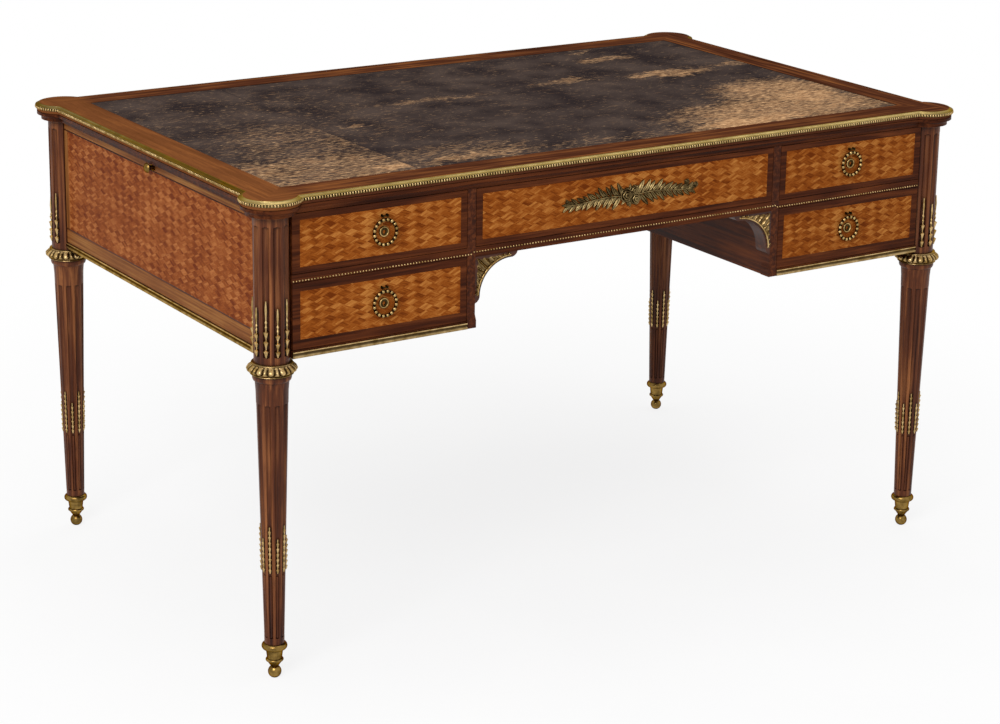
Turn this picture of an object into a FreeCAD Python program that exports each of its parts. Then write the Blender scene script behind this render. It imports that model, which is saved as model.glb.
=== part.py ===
import FreeCAD, Part
import math
import os
import Sketcher
from FreeCAD import Placement, Rotation, Vector

# Writing table with five drawers, two writing slides and fluted legs.
# Millimetres. X runs along the width, the drawers open towards -Y, Z is up.
# The origin lies on the floor under the middle of the table.

SIZES = {
    # Overall
    "leg_span_x": 1276,
    "leg_span_y": 752,
    "table_height": 770,
    # Top
    "top_overhang": 29,
    "lobe_radius": 48,
    "slab_thickness": 14,
    "slab_inset": 2,
    "slab_round": 4,
    "rim_width": 10,
    "rim_thickness": 3.5,
    "rim_crown": 0.6,
    "bead_height": 5,
    "bead_proud": 1,
    "cornice_thickness": 14,
    "cornice_lip": 2.5,
    "cornice_lip_height": 5,
    "cornice_cove": 6,
    "cornice_quirk": 1,
    "leather_margin": 34,
    "leather_thickness": 2,
    # Case
    "front_proud": 20,
    "end_proud": 11,
    "post_seat": 24,
    "end_thickness": 18,
    "knee_half_width": 291.5,
    "wall_thickness": 15,
    "floor_thickness": 12,
    "upper_opening": 94,
    "lower_opening": 105,
    "divider_thickness": 13,
    "centre_divider_thickness": 16,
    "back_thickness": 20,
    "plinth_height": 22,
    "plinth_proud": 1.5,
    "plinth_slope": 10,
    # Legs
    "column_radius": 27.5,
    "column_flute_radius": 6,
    "column_flute_depth": 4,
    "column_neck": 10,
    "column_base": 2,
    "neck_ring_radius": 30.5,
    "neck_ring_height": 4,
    "collar_gap": 4,
    "collar_height": 20,
    "collar_radius": 39,
    "collar_bore": 22,
    "collar_seat": 30,
    "collar_rim": 2,
    "dart_radius": 3.4,
    "dart_depth": 2.2,
    "shoulder_radius": 28,
    "shoulder_foot_radius": 26,
    "shoulder_height": 14,
    "waist_radius": 25,
    "waist_height": 12,
    "ankle_radius": 15.5,
    "leg_flute_drop": 14,
    "leg_flute_foot": 8,
    "leg_flute_top_radius": 5.4,
    "leg_flute_foot_radius": 3.2,
    "leg_flute_depth": 3.2,
    "leg_flute_foot_depth": 2,
    "reed_top_radius": 2.5,
    "reed_foot_radius": 2,
    "reed_sink": 0.2,
    "reed_gap": 3,
    # Toe caps
    "cap_top": 58,
    "cap_bore": 11,
    "cap_socket": 16,
    "cap_ring_radius": 20,
    "cap_ring_seat": 15.5,
    "cap_ring_height": 11,
    "cap_cup_radius": 13.5,
    "cap_cup_foot_radius": 11.75,
    "cap_cup_height": 15,
    "cap_low_ring_radius": 14,
    "cap_low_ring_height": 5,
    "cap_neck_radius": 5.8,
    "ball_radius": 10.5,
    "ball_flat": 5,
    # Husk drops
    "column_husk_length": 88,
    "column_husk_short": 76,
    "husk_radius": 4.2,
    "husk_bead_radius": 2,
    "husk_stem_radius": 0.9,
    "husk_clearance": 0.1,
    "leg_husk_length": 76,
    "leg_husk_short": 56,
    "leg_husk_radius": 2.5,
    "leg_husk_foot": 178,
    # Brass strips
    "base_strip_height": 10,
    "base_strip_proud": 3,
    "base_strip_lip": 1.5,
    "base_strip_fillet": 4,
    "bead_strip_radius": 2,
    "bead_strip_drop": 5.5,
    "bead_strip_jog": 3,
    # Knee brackets
    "bracket_width": 78,
    "bracket_height": 75,
    "bracket_lip": 8.6,
    "bracket_nose": 11.6,
    "bracket_nose_radius": 12,
    "bracket_depth": 28,
    "bracket_mount_margin": 3,
    "bracket_mount_thickness": 4,
    # Drawers
    "drawer_gap": 1,
    "pull_x": 456.5,
    "drawer_front_thickness": 20,
    "drawer_side_thickness": 10,
    "drawer_back_thickness": 10,
    "drawer_bottom_thickness": 6,
    "drawer_bottom_rise": 6,
    "drawer_side_gap": 2,
    "drawer_run_gap": 0.3,
    "drawer_back_clearance": 62,
    "upper_box_height": 66,
    "lower_box_height": 88,
    # Locks and keyhole plates
    "keyhole_radius": 3,
    "keyhole_slot_width": 2.4,
    "keyhole_slot_length": 8,
    "plate_radius": 8.5,
    "plate_thickness": 2,
    "lock_width": 56,
    "lock_height": 44,
    "lock_thickness": 9,
    # Ring pulls
    "ring_radius": 19.5,
    "ring_wire": 4,
    "ring_stand": 1.5,
    "knuckle_radius": 2.5,
    "knuckle_length": 6,
    "knuckle_bite": 0.5,
    "pin_radius": 0.9,
    "pin_clearance": 0.3,
    "cheek_radius": 1.9,
    "cheek_width": 2,
    "cheek_gap": 0.3,
    # Leaf spray on the centre drawer
    "spray_length": 275,
    "spray_height": 30,
    "spray_thickness": 4,
    "rosette_radius": 17,
    "rosette_thickness": 7,
    # Writing slides
    "slide_gap": 1,
    "slide_front_height": 13,
    "slide_front_thickness": 12,
    "slide_board_thickness": 11,
    "slide_board_margin": 22,
    "slide_back_gap": 4,
    "bearer_width": 16,
    "bearer_height": 8,
    "knob_radius": 8.3,
    "knob_neck_radius": 3.4,
    "knob_neck_length": 7,
    "knob_plate_radius": 6,
    "knob_plate_thickness": 2,
    "knob_crown": 5.5,
    "knob_length": 17,
}

doc = FreeCAD.newDocument("writing_table")
sheet = doc.addObject("Spreadsheet::Sheet", "Sizes")


class Dim:
    """A length known both as a number and as a formula on the sheet."""

    def __init__(self, formula, number):
        self.formula = formula
        self.number = number

    def __add__(self, other):
        return joined(self, "+", other)

    def __radd__(self, other):
        return joined(other, "+", self)

    def __sub__(self, other):
        return joined(self, "-", other)

    def __rsub__(self, other):
        return joined(other, "-", self)

    def __mul__(self, other):
        return joined(self, "*", other)

    def __rmul__(self, other):
        return joined(other, "*", self)

    def __truediv__(self, other):
        return joined(self, "/", other)

    def __neg__(self):
        return joined(0, "-", self)


def as_dim(value):
    """Turn a plain number into a Dim."""
    if isinstance(value, Dim):
        return value
    return Dim(str(value), float(value))


def joined(left, sign, right):
    """Join two lengths with an arithmetic sign."""
    left = as_dim(left)
    right = as_dim(right)
    numbers = {
        "+": left.number + right.number,
        "-": left.number - right.number,
        "*": left.number * right.number,
        "/": left.number / right.number if right.number else 0.0,
    }
    return Dim("(%s %s %s)" % (left.formula, sign, right.formula), numbers[sign])


def root(value):
    """Square root of a length squared."""
    return Dim("sqrt(%s)" % value.formula, math.sqrt(value.number))


def slope_angle(value):
    """Angle in degrees of a slope."""
    return Dim("atan(%s)" % value.formula, math.degrees(math.atan(value.number)))


class Sheet:
    """The named sizes of the sheet, each as a Dim."""

    def __init__(self, sizes):
        for row, (alias, number) in enumerate(sizes.items(), start=1):
            sheet.set("A%d" % row, alias.replace("_", " "))
            sheet.set("B%d" % row, str(number))
            sheet.setAlias("B%d" % row, alias)
            setattr(self, alias, Dim("Sizes." + alias, float(number)))


s = Sheet(SIZES)
doc.recompute()
nodes = []


# Places worked out from the sizes
half_x = s.leg_span_x / 2
half_y = s.leg_span_y / 2
front_face = half_y + s.front_proud
end_face = half_x + s.end_proud
end_inside = end_face - s.end_thickness
seat_x = half_x - s.post_seat
seat_y = half_y - s.post_seat
knee_out = s.knee_half_width + s.wall_thickness
slab_bottom = s.table_height - s.slab_thickness
cornice_bottom = slab_bottom - s.cornice_thickness
divider_top = cornice_bottom - s.upper_opening
divider_bottom = divider_top - s.divider_thickness
floor_top = divider_bottom - s.lower_opening
case_bottom = floor_top - s.floor_thickness
centre_divider_bottom = divider_top - s.centre_divider_thickness
slide_top = cornice_bottom - s.slide_gap
slide_bottom = slide_top - s.slide_front_height
end_top = slide_bottom - s.slide_gap
back_inside = front_face - s.back_thickness
collar_top = case_bottom - s.collar_gap
collar_bottom = collar_top - s.collar_height
LEGS = {
    "front_left": (-1, -1, 0),
    "front_right": (1, -1, 90),
    "back_right": (1, 1, 180),
    "back_left": (-1, 1, 270),
}
SIDES = {"left": -1, "right": 1}


# Modelling helpers
def bind(thing, **formulas):
    """Tie properties to the sheet; a double underscore stands for a dot."""
    for name, value in formulas.items():
        thing.setExpression(name.replace("__", "."), as_dim(value).formula)


def place(thing, x=0, y=0, z=0):
    """Tie the position of a shape to the sheet."""
    bind(thing, Placement__Base__x=x, Placement__Base__y=y, Placement__Base__z=z)


def keep(thing, node):
    """Name a finished sub-part, which gives its file its name."""
    thing.Label = node
    nodes.append(thing)
    return thing


def mirrored(side, span):
    """The same stretch of X on the left (-1) or the right (1) of the table."""
    near, far = span
    if side > 0:
        return near, far
    return -as_dim(far), -as_dim(near)


def box(name, x, y, z):
    """Box between two values along each axis."""
    solid = doc.addObject("Part::Box", name)
    bind(solid, Length=as_dim(x[1]) - x[0], Width=as_dim(y[1]) - y[0], Height=as_dim(z[1]) - z[0])
    place(solid, x[0], y[0], z[0])
    return solid


def cylinder(name, radius, length, x=0, y=0, z=0, axis="z"):
    """Cylinder that starts at a point and runs along an axis."""
    solid = doc.addObject("Part::Cylinder", name)
    bind(solid, Radius=radius, Height=length)
    turns = {
        "z": Rotation(),
        "x": Rotation(Vector(0, 1, 0), 90),
        "-x": Rotation(Vector(0, 1, 0), -90),
        "-y": Rotation(Vector(1, 0, 0), 90),
    }
    solid.Placement = Placement(Vector(), turns[axis])
    place(solid, x, y, z)
    return solid


def fuse(name, *shapes):
    """Join shapes into one solid."""
    solid = doc.addObject("Part::MultiFuse", name)
    solid.Shapes = list(shapes)
    solid.Refine = True
    return solid


def cut(name, base, tool):
    """Take one shape away from another."""
    solid = doc.addObject("Part::Cut", name)
    solid.Base = base
    solid.Tool = tool
    solid.Refine = True
    return solid


def overlap_of(name, *shapes):
    """What several shapes share."""
    solid = doc.addObject("Part::MultiCommon", name)
    solid.Shapes = list(shapes)
    solid.Refine = True
    return solid


def group(name, *shapes):
    """Separate solids that make one node."""
    solids = doc.addObject("Part::Compound", name)
    solids.Links = list(shapes)
    return solids


def plane_of(body, role):
    """One of the body's own origin planes."""
    return next(item for item in body.Origin.OriginFeatures if item.Role == role)


def sketch_outline(body, name, role, points, arcs=None, lift=None, turn=0):
    """Closed outline whose corners, and arc radii, are tied to the sheet.

    points holds (across, up) pairs. arcs maps the number of a stretch to
    (radius, side): the arc bulges to the left of its direction for 1 and to
    the right for -1. lift moves the sketch along the normal of its plane and
    turn, in degrees, turns it in that plane.
    """
    arcs = arcs or {}
    sketch = body.newObject("Sketcher::SketchObject", name)
    sketch.AttachmentSupport = [(plane_of(body, role), "")]
    sketch.MapMode = "FlatFace"
    sketch.AttachmentOffset = Placement(Vector(), Rotation(Vector(0, 0, 1), turn))
    if lift is not None:
        bind(sketch, AttachmentOffset__Base__z=lift)
    points = [(as_dim(across), as_dim(up)) for across, up in points]
    corners = [Vector(across.number, up.number, 0) for across, up in points]
    count = len(points)
    for index, start in enumerate(corners):
        end = corners[(index + 1) % count]
        if index in arcs:
            radius, side = arcs[index]
            sketch.addGeometry(arc_between(start, end, as_dim(radius).number, side), False)
        else:
            sketch.addGeometry(Part.LineSegment(start, end), False)
    ends = [(2, 1) if index in arcs and arcs[index][1] > 0 else (1, 2) for index in range(count)]
    for index in range(count):
        after = (index + 1) % count
        meeting = Sketcher.Constraint("Coincident", index, ends[index][1], after, ends[after][0])
        sketch.addConstraint(meeting)
    for index, (across, up) in enumerate(points):
        fix_point(sketch, index, ends[index][0], across, "DistanceX", -2)
        fix_point(sketch, index, ends[index][0], up, "DistanceY", -1)
    for index, (radius, side) in arcs.items():
        fix_arc(sketch, index, points[index], points[(index + 1) % count], as_dim(radius), side)
    return sketch


def fix_arc(sketch, index, start, end, radius, side):
    """Hold the centre of an arc, whose ends are held already, by its freer coordinate."""
    run = end[0] - start[0]
    rise = end[1] - start[1]
    square = run * run + rise * rise
    away = root((radius * radius - square / 4) / square) * side
    centre = ((start[0] + end[0]) / 2 + rise * away, (start[1] + end[1]) / 2 - run * away)
    if abs(rise.number) > abs(run.number):
        fix_point(sketch, index, 3, centre[0], "DistanceX", -2)
    else:
        fix_point(sketch, index, 3, centre[1], "DistanceY", -1)


def fix_point(sketch, index, end, value, kind, axis):
    """Hold one coordinate of a corner, on the axis itself where it is zero."""
    if abs(value.number) < 1e-9:
        sketch.addConstraint(Sketcher.Constraint("PointOnObject", index, end, axis))
        return
    number = sketch.addConstraint(Sketcher.Constraint(kind, -1, 1, index, end, value.number))
    sketch.setExpression("Constraints[%d]" % number, value.formula)


def arc_between(start, end, radius, side):
    """Arc of a given radius between two points, the shorter way round, drawn anticlockwise."""
    chord = end - start
    half = chord.Length / 2
    left = Vector(-chord.y, chord.x, 0).normalize()
    centre = (start + end) * 0.5 - left * (side * math.sqrt(max(radius * radius - half * half, 0.0)))
    first, last = (end, start) if side > 0 else (start, end)
    begin = math.atan2(first.y - centre.y, first.x - centre.x)
    finish = math.atan2(last.y - centre.y, last.x - centre.x)
    if finish < begin:
        finish += 2 * math.pi
    return Part.ArcOfCircle(Part.Circle(centre, Vector(0, 0, 1), radius), begin, finish)


def turned(name, points, arcs=None):
    """Body turned about its own Z axis from an outline of (radius, height)."""
    body = doc.addObject("PartDesign::Body", name)
    sketch = sketch_outline(body, name + "_outline", "XZ_Plane", points, arcs)
    spin = body.newObject("PartDesign::Revolution", name + "_spin")
    spin.Profile = sketch
    spin.ReferenceAxis = (sketch, ["V_Axis"])
    spin.Angle = 360
    doc.recompute()
    return body


def padded(name, role, points, depth, arcs=None, lift=None):
    """Body of an outline pushed along the normal of its plane."""
    body = doc.addObject("PartDesign::Body", name)
    sketch = sketch_outline(body, name + "_outline", role, points, arcs, lift)
    pad = body.newObject("PartDesign::Pad", name + "_pad")
    pad.Profile = sketch
    bind(pad, Length=depth)
    doc.recompute()
    return body


def settle(body, feature):
    """Recompute a body after a cut or an addition and make sure that it met the solid."""
    before = body.Shape.Volume
    body.Tip = feature
    doc.recompute()
    if body.Shape.Volume == before:
        raise ValueError(feature.Name + " changes nothing")


def bulge_radius(height, sag):
    """Radius of the arc that swells by sag over a height."""
    return (height * height / 4 + sag * sag) / (2 * sag)


# Top of the table
def lobed_plate(name, inset, bottom, top):
    """Plate with straight edges and a round lobe over each leg."""
    reach_x = half_x + s.top_overhang - inset
    reach_y = half_y + s.top_overhang - inset
    pieces = [box(name + "_field", (-reach_x, reach_x), (-reach_y, reach_y), (bottom, top))]
    for leg, (side, end, angle) in LEGS.items():
        lobe = cylinder(name + "_" + leg, s.lobe_radius - inset, as_dim(top) - bottom,
                        half_x * side, half_y * end, bottom)
        pieces.append(lobe)
    return fuse(name, *pieces)


def moulded_plate(name, profile, arcs):
    """Lobed plate whose whole edge has one moulded profile.

    profile holds (inset, height) pairs from the bottom of the edge to its top.
    Two long mouldings, one across the other, share the straight edges, and
    each lobe is turned from the same profile.
    """
    reach_x = half_x + s.top_overhang
    reach_y = half_y + s.top_overhang
    pieces = []
    runs = (("long", "YZ_Plane", reach_y, reach_x), ("cross", "XZ_Plane", reach_x, reach_y))
    for word, role, reach, run in runs:
        right = [(reach - inset, height) for inset, height in profile]
        left = [(inset - reach, height) for inset, height in reversed(profile)]
        bends = dict(arcs)
        bends.update({2 * len(profile) - 2 - stretch: bend for stretch, bend in arcs.items()})
        pieces.append(padded("%s_%s" % (name, word), role, right + left, run * 2, bends, -run))
    solids = [overlap_of(name + "_field", *pieces)]
    edge = [(s.lobe_radius - inset, height) for inset, height in profile]
    outline = [(0, profile[0][1])] + edge + [(0, profile[-1][1])]
    for leg, (side, end, angle) in LEGS.items():
        lobe = turned(name + "_" + leg, outline, {stretch + 1: bend for stretch, bend in arcs.items()})
        place(lobe, half_x * side, half_y * end, 0)
        solids.append(lobe)
    return fuse(name, *solids)


def make_top():
    """Board, leather, brass rim and cornice."""
    top = s.table_height
    rim_bottom = top - s.rim_thickness
    bead_bottom = rim_bottom - s.bead_height
    field_x = half_x - s.leather_margin
    field_y = half_y - s.leather_margin
    leather_bottom = top - s.leather_thickness
    slab_edge = [
        (s.slab_inset + s.slab_round, slab_bottom),
        (s.slab_inset, slab_bottom + s.slab_round),
        (s.slab_inset, rim_bottom),
    ]
    whole = fuse(
        "board_blank",
        moulded_plate("board_body", slab_edge, {0: (s.slab_round, -1)}),
        lobed_plate("board_face", s.rim_width, rim_bottom, top),
    )
    recess = box("leather_recess", (-field_x, field_x), (-field_y, field_y), (leather_bottom, top))
    keep(cut("board", whole, recess), "top_board")
    keep(box("leather", (-field_x, field_x), (-field_y, field_y), (leather_bottom, top)), "writing_leather")
    rim_edge = [(0, bead_bottom), (0, rim_bottom), (s.rim_width, top)]
    slope = root(s.rim_width * s.rim_width + s.rim_thickness * s.rim_thickness)
    rim_arcs = {0: (bulge_radius(s.bead_height, s.bead_proud), -1), 1: (bulge_radius(slope, s.rim_crown), -1)}
    keep(cut("rim", moulded_plate("rim_outside", rim_edge, rim_arcs), whole), "top_rim")
    quirk_inset = s.cornice_lip + s.cornice_quirk
    foot_inset = quirk_inset + s.cornice_cove
    lip_bottom = slab_bottom - s.cornice_lip_height
    cornice_edge = [
        (foot_inset, cornice_bottom),
        (foot_inset, lip_bottom - s.cornice_cove),
        (quirk_inset, lip_bottom),
        (s.cornice_lip, lip_bottom),
        (s.cornice_lip, slab_bottom),
    ]
    keep(moulded_plate("cornice_body", cornice_edge, {1: (s.cornice_cove, 1)}), "cornice")


# Legs, collars, toe caps and husk drops
leg_flute_top = collar_bottom - s.shoulder_height - s.waist_height - s.leg_flute_drop
leg_flute_low = s.cap_top + s.leg_flute_foot
waist_level = collar_bottom - s.shoulder_height - s.waist_height
column_flute_low = case_bottom + s.column_base
column_flute_top = cornice_bottom - s.column_neck


def leg_radius(level):
    """Radius of the tapering leg at a height."""
    rise = (level - s.cap_top) / (waist_level - s.cap_top)
    return s.ankle_radius + (s.waist_radius - s.ankle_radius) * rise


def flute_floor(level):
    """Radius of the floor of a leg's flute at a height."""
    low = leg_flute_low + s.leg_flute_foot_radius
    high = leg_flute_top - s.leg_flute_top_radius
    floor_low = leg_radius(leg_flute_low) - s.leg_flute_foot_depth
    floor_high = leg_radius(leg_flute_top) - s.leg_flute_depth
    return floor_low + (floor_high - floor_low) * ((level - low) / (high - low))


def rod_along(body, name, kind, top, low, top_axis, low_axis, top_width, low_width):
    """Round-ended tapering rod along the surface, on the +X side of the body.

    kind says whether the rod is cut away or added. top_axis and low_axis are
    the distances of the rod's own axis from the axis of the body.
    """
    points = [
        (low_axis, low),
        (low_axis - low_width, low + low_width),
        (top_axis - top_width, top - top_width),
        (top_axis, top),
    ]
    arcs = {0: (low_width, -1), 2: (top_width, -1)}
    sketch = sketch_outline(body, name + "_outline", "XZ_Plane", points, arcs)
    line = sketch.addGeometry(
        Part.LineSegment(
            Vector(low_axis.number, low.number, 0),
            Vector(top_axis.number, top.number, 0),
        ),
        True,
    )
    sketch.addConstraint(Sketcher.Constraint("Coincident", line, 1, 3, 2))
    sketch.addConstraint(Sketcher.Constraint("Coincident", line, 2, 3, 1))
    doc.recompute()
    rod = body.newObject(kind, name)
    rod.Profile = sketch
    rod.ReferenceAxis = (sketch, ["Axis0"])
    rod.Angle = 360
    settle(body, rod)
    return rod


def flute(body, name, top, low, top_depth, low_depth, top_width, low_width, surface_top, surface_low):
    """Round-ended flute cut into the surface to a depth at each end."""
    return rod_along(body, name, "PartDesign::Groove", top, low, surface_top - top_depth + top_width,
                     surface_low - low_depth + low_width, top_width, low_width)


def pattern(body, name, feature, sweep, count):
    """Repeat a cut round the axis of a turned body."""
    ring = body.newObject("PartDesign::PolarPattern", name)
    ring.Originals = [feature]
    ring.Axis = (plane_of(body, "Z_Axis"), [""])
    ring.Angle = sweep
    ring.Occurrences = count
    settle(body, ring)
    return ring


# Ten flutes go round a leg, five of them run on up the free side of its column
FLUTES = 10
FLUTE_STEP = 360.0 / FLUTES
COLUMN_FLUTES = 5
TONGUES = 12
OUTWARD = 225.0
COLUMN_START = OUTWARD - FLUTE_STEP * (COLUMN_FLUTES - 1) / 2
# A column's drop has twelve equal parts; a bellflower is widest and ends at these shares of its pitch
COLUMN_DROP_PARTS = 12
HALF = 0.5
BELL_RIM = 0.7
BELL_TOP = 0.85
LONG_BELLS = 8
SHORT_BELLS = 6


def flat_seats(body, name):
    """Two flats on the column, where the rails and the end panel butt against it."""
    reach = s.column_radius + s.post_seat
    corners = [
        (s.post_seat, -reach),
        (reach, -reach),
        (reach, reach),
        (-reach, reach),
        (-reach, s.post_seat),
        (s.post_seat, s.post_seat),
    ]
    sketch = sketch_outline(body, name + "_outline", "XY_Plane", corners, None, case_bottom, -COLUMN_START)
    pocket = body.newObject("PartDesign::Pocket", name)
    pocket.Profile = sketch
    pocket.Reversed = True
    bind(pocket, Length=cornice_bottom - case_bottom)
    settle(body, pocket)


def make_leg(leg):
    """Column and leg turned in one piece, with flutes, reeds and two flat seats."""
    name = "leg_" + leg
    stub = s.cap_top - s.cap_socket
    ring_bottom = cornice_bottom - s.neck_ring_height
    ring_bulge = bulge_radius(s.neck_ring_height, s.neck_ring_radius - s.column_radius)
    outline = [
        (0, stub),
        (s.cap_bore, stub),
        (s.cap_bore, s.cap_top),
        (s.ankle_radius, s.cap_top),
        (s.waist_radius, waist_level),
        (s.shoulder_foot_radius, collar_bottom - s.shoulder_height),
        (s.shoulder_radius, collar_bottom),
        (s.collar_bore, collar_bottom),
        (s.collar_bore, collar_top),
        (s.column_radius, collar_top),
        (s.column_radius, ring_bottom),
        (s.column_radius, cornice_bottom),
        (0, cornice_bottom),
    ]
    body = turned(name, outline, {10: (ring_bulge, -1)})
    low = flute(body, name + "_leg_flute", leg_flute_top, leg_flute_low,
                s.leg_flute_depth, s.leg_flute_foot_depth,
                s.leg_flute_top_radius, s.leg_flute_foot_radius,
                leg_radius(leg_flute_top), leg_radius(leg_flute_low))
    pattern(body, name + "_leg_flutes", low, 360, FLUTES)
    reed_top = s.leg_husk_foot - s.reed_gap
    reed_low = leg_flute_low + s.reed_gap
    reed = rod_along(body, name + "_reed", "PartDesign::Revolution", reed_top, reed_low,
                     leg_radius(reed_top) - s.reed_sink - s.reed_top_radius,
                     leg_radius(reed_low) - s.reed_sink - s.reed_foot_radius,
                     s.reed_top_radius, s.reed_foot_radius)
    pattern(body, name + "_reeds", reed, 360, FLUTES)
    high = flute(body, name + "_column_flute", column_flute_top, column_flute_low,
                 s.column_flute_depth, s.column_flute_depth,
                 s.column_flute_radius, s.column_flute_radius,
                 s.column_radius, s.column_radius)
    pattern(body, name + "_column_flutes", high, FLUTE_STEP * (COLUMN_FLUTES - 1), COLUMN_FLUTES)
    flat_seats(body, name + "_seats")
    return keep(body, name)


def make_collar(leg):
    """Swelling bronze ring round the top of a leg, with a row of tongues parted by darts."""
    sag = s.collar_radius - s.collar_seat
    outline = [
        (s.collar_bore, collar_bottom),
        (s.collar_seat, collar_bottom),
        (s.collar_seat, collar_top),
        (s.collar_bore, collar_top),
    ]
    name = "collar_" + leg
    body = turned(name, outline, {1: (bulge_radius(s.collar_height, sag), -1)})
    dart = flute(body, name + "_dart", collar_top - s.collar_rim, collar_bottom + s.collar_rim,
                 s.dart_depth, s.dart_depth, s.dart_radius, s.dart_radius, s.collar_radius, s.collar_radius)
    pattern(body, name + "_darts", dart, 360, TONGUES)
    return body


def make_toe_cap(leg):
    """Brass toe cap: a ring, a cup, a second ring and a ball that stands on the floor."""
    ball_centre = root(s.ball_radius * s.ball_radius - s.ball_flat * s.ball_flat)
    neck = ball_centre + root(s.ball_radius * s.ball_radius - s.cap_neck_radius * s.cap_neck_radius)
    ring_bottom = s.cap_top - s.cap_ring_height
    cup_bottom = ring_bottom - s.cap_cup_height
    low_ring_bottom = cup_bottom - s.cap_low_ring_height
    socket = s.cap_top - s.cap_socket
    outline = [
        (0, 0),
        (s.ball_flat, 0),
        (s.cap_neck_radius, neck),
        (s.cap_cup_foot_radius, low_ring_bottom),
        (s.cap_cup_foot_radius, cup_bottom),
        (s.cap_cup_radius, ring_bottom),
        (s.cap_ring_seat, ring_bottom),
        (s.cap_ring_seat, s.cap_top),
        (s.cap_bore, s.cap_top),
        (s.cap_bore, socket),
        (0, socket),
    ]
    arcs = {
        1: (s.ball_radius, -1),
        3: (bulge_radius(s.cap_low_ring_height, s.cap_low_ring_radius - s.cap_cup_foot_radius), -1),
        6: (bulge_radius(s.cap_ring_height, s.cap_ring_radius - s.cap_ring_seat), -1),
    }
    return keep(turned("toe_cap_" + leg, outline, arcs), "toe_cap_" + leg)


def bells(start, pitch, count, radius):
    """Outline of a string of bellflowers, each a cone that opens upwards."""
    outline = []
    for number in range(count):
        low = start + pitch * number
        outline.append((s.husk_stem_radius, low))
        outline.append((radius, low + pitch * BELL_RIM))
        outline.append((s.husk_stem_radius, low + pitch * BELL_TOP))
    return outline


def husk_master(name, outline, length):
    """Turned drop, thick end down, that stands on its own axis."""
    return turned(name, [(0, 0)] + outline + [(s.husk_stem_radius, length), (0, length)])


def column_drop(name, length):
    """Leaf, two bellflowers, two beads and a long bud."""
    part = length / COLUMN_DROP_PARTS
    outline = bells(as_dim(0), part * 2, 3, s.husk_radius)
    for number in (6, 7):
        outline += [(s.husk_stem_radius, part * number), (s.husk_bead_radius, part * (number + HALF))]
    outline += [(s.husk_stem_radius, part * 8), (s.husk_bead_radius, part * 10)]
    return husk_master(name, outline, length)


def leg_drop(name, length, count):
    """Even string of bellflowers."""
    return husk_master(name, bells(as_dim(0), length / (count + HALF), count, s.leg_husk_radius), length)


def husk(name, master, seat_radius, radius, lean, bearing, side, end, level):
    """One drop in its flute.

    seat_radius is the radius of the flute's floor at the foot of the drop,
    lean the slope of that floor and bearing its direction from the leg's axis.
    """
    drop = doc.addObject("App::Link", name)
    drop.LinkedObject = master
    stand = seat_radius + radius + s.husk_clearance
    east = math.cos(math.radians(bearing))
    north = math.sin(math.radians(bearing))
    tilt = slope_angle(as_dim(lean))
    drop.Placement = Placement(Vector(), Rotation(Vector(-north, east, 0), tilt.number))
    if tilt.number:
        bind(drop, Placement__Rotation__Angle=tilt)
    place(drop, half_x * side + stand * east, half_y * end + stand * north, level)
    return drop


def make_husks():
    """Drops in the flutes, long and short by turns."""
    on_columns = []
    on_legs = []
    column_floor = s.column_radius - s.column_flute_depth
    column_foot = column_flute_low + s.column_flute_radius
    leg_floor = flute_floor(s.leg_husk_foot)
    tip = s.leg_husk_foot + s.leg_husk_length
    lean = (flute_floor(tip) - leg_floor) / s.leg_husk_length
    column_drops = [column_drop("column_drop_long", s.column_husk_length),
                    column_drop("column_drop_short", s.column_husk_short)]
    leg_drops = [leg_drop("leg_drop_long", s.leg_husk_length, LONG_BELLS),
                 leg_drop("leg_drop_short", s.leg_husk_short, SHORT_BELLS)]
    for leg, (side, end, angle) in LEGS.items():
        for number in range(COLUMN_FLUTES):
            bearing = angle + COLUMN_START + FLUTE_STEP * number
            on_columns.append(husk("column_husk_%s_%d" % (leg, number), column_drops[number % 2],
                                   column_floor, s.husk_radius, 0, bearing, side, end, column_foot))
        for number in range(FLUTES):
            bearing = angle + COLUMN_START + FLUTE_STEP * number
            on_legs.append(husk("leg_husk_%s_%d" % (leg, number), leg_drops[number % 2],
                                leg_floor, s.leg_husk_radius, lean, bearing, side, end, s.leg_husk_foot))
    keep(group("column_drops", *on_columns), "column_husks")
    keep(group("leg_drops", *on_legs), "leg_husks")


def make_legs():
    """Four legs with collars, toe caps and drops; each leg's flat seats face the case."""
    collars = []
    for leg, (side, end, angle) in LEGS.items():
        body = make_leg(leg)
        body.Placement = Placement(Vector(), Rotation(Vector(0, 0, 1), angle + COLUMN_START))
        collar = make_collar(leg)
        collars.append(collar)
        for piece in (body, collar, make_toe_cap(leg)):
            place(piece, half_x * side, half_y * end, 0)
    keep(group("collars", *collars), "leg_collars")
    make_husks()


# Case
def shelf(name, side, bottom, top):
    """Board of one pedestal, from front to back between knee wall and end panel, notched for the legs."""
    height = (bottom, top)
    between_legs = box(name + "_field", mirrored(side, (knee_out, end_inside)), (-seat_y, seat_y), height)
    full_depth = box(name + "_edges", mirrored(side, (knee_out, seat_x)), (-front_face, front_face), height)
    return fuse(name, between_legs, full_depth)


def knee_wall(word, side):
    """Wall of the kneehole with a small plinth at the foot of its front and back edges."""
    wall = box("wall_" + word, mirrored(side, (s.knee_half_width, knee_out)), (-front_face, front_face),
               (case_bottom, cornice_bottom))
    front = plinth("plinth_front_" + word, side, -1)
    back = plinth("plinth_back_" + word, side, 1)
    return fuse("knee_wall_body_" + word, wall, front, back)


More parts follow.
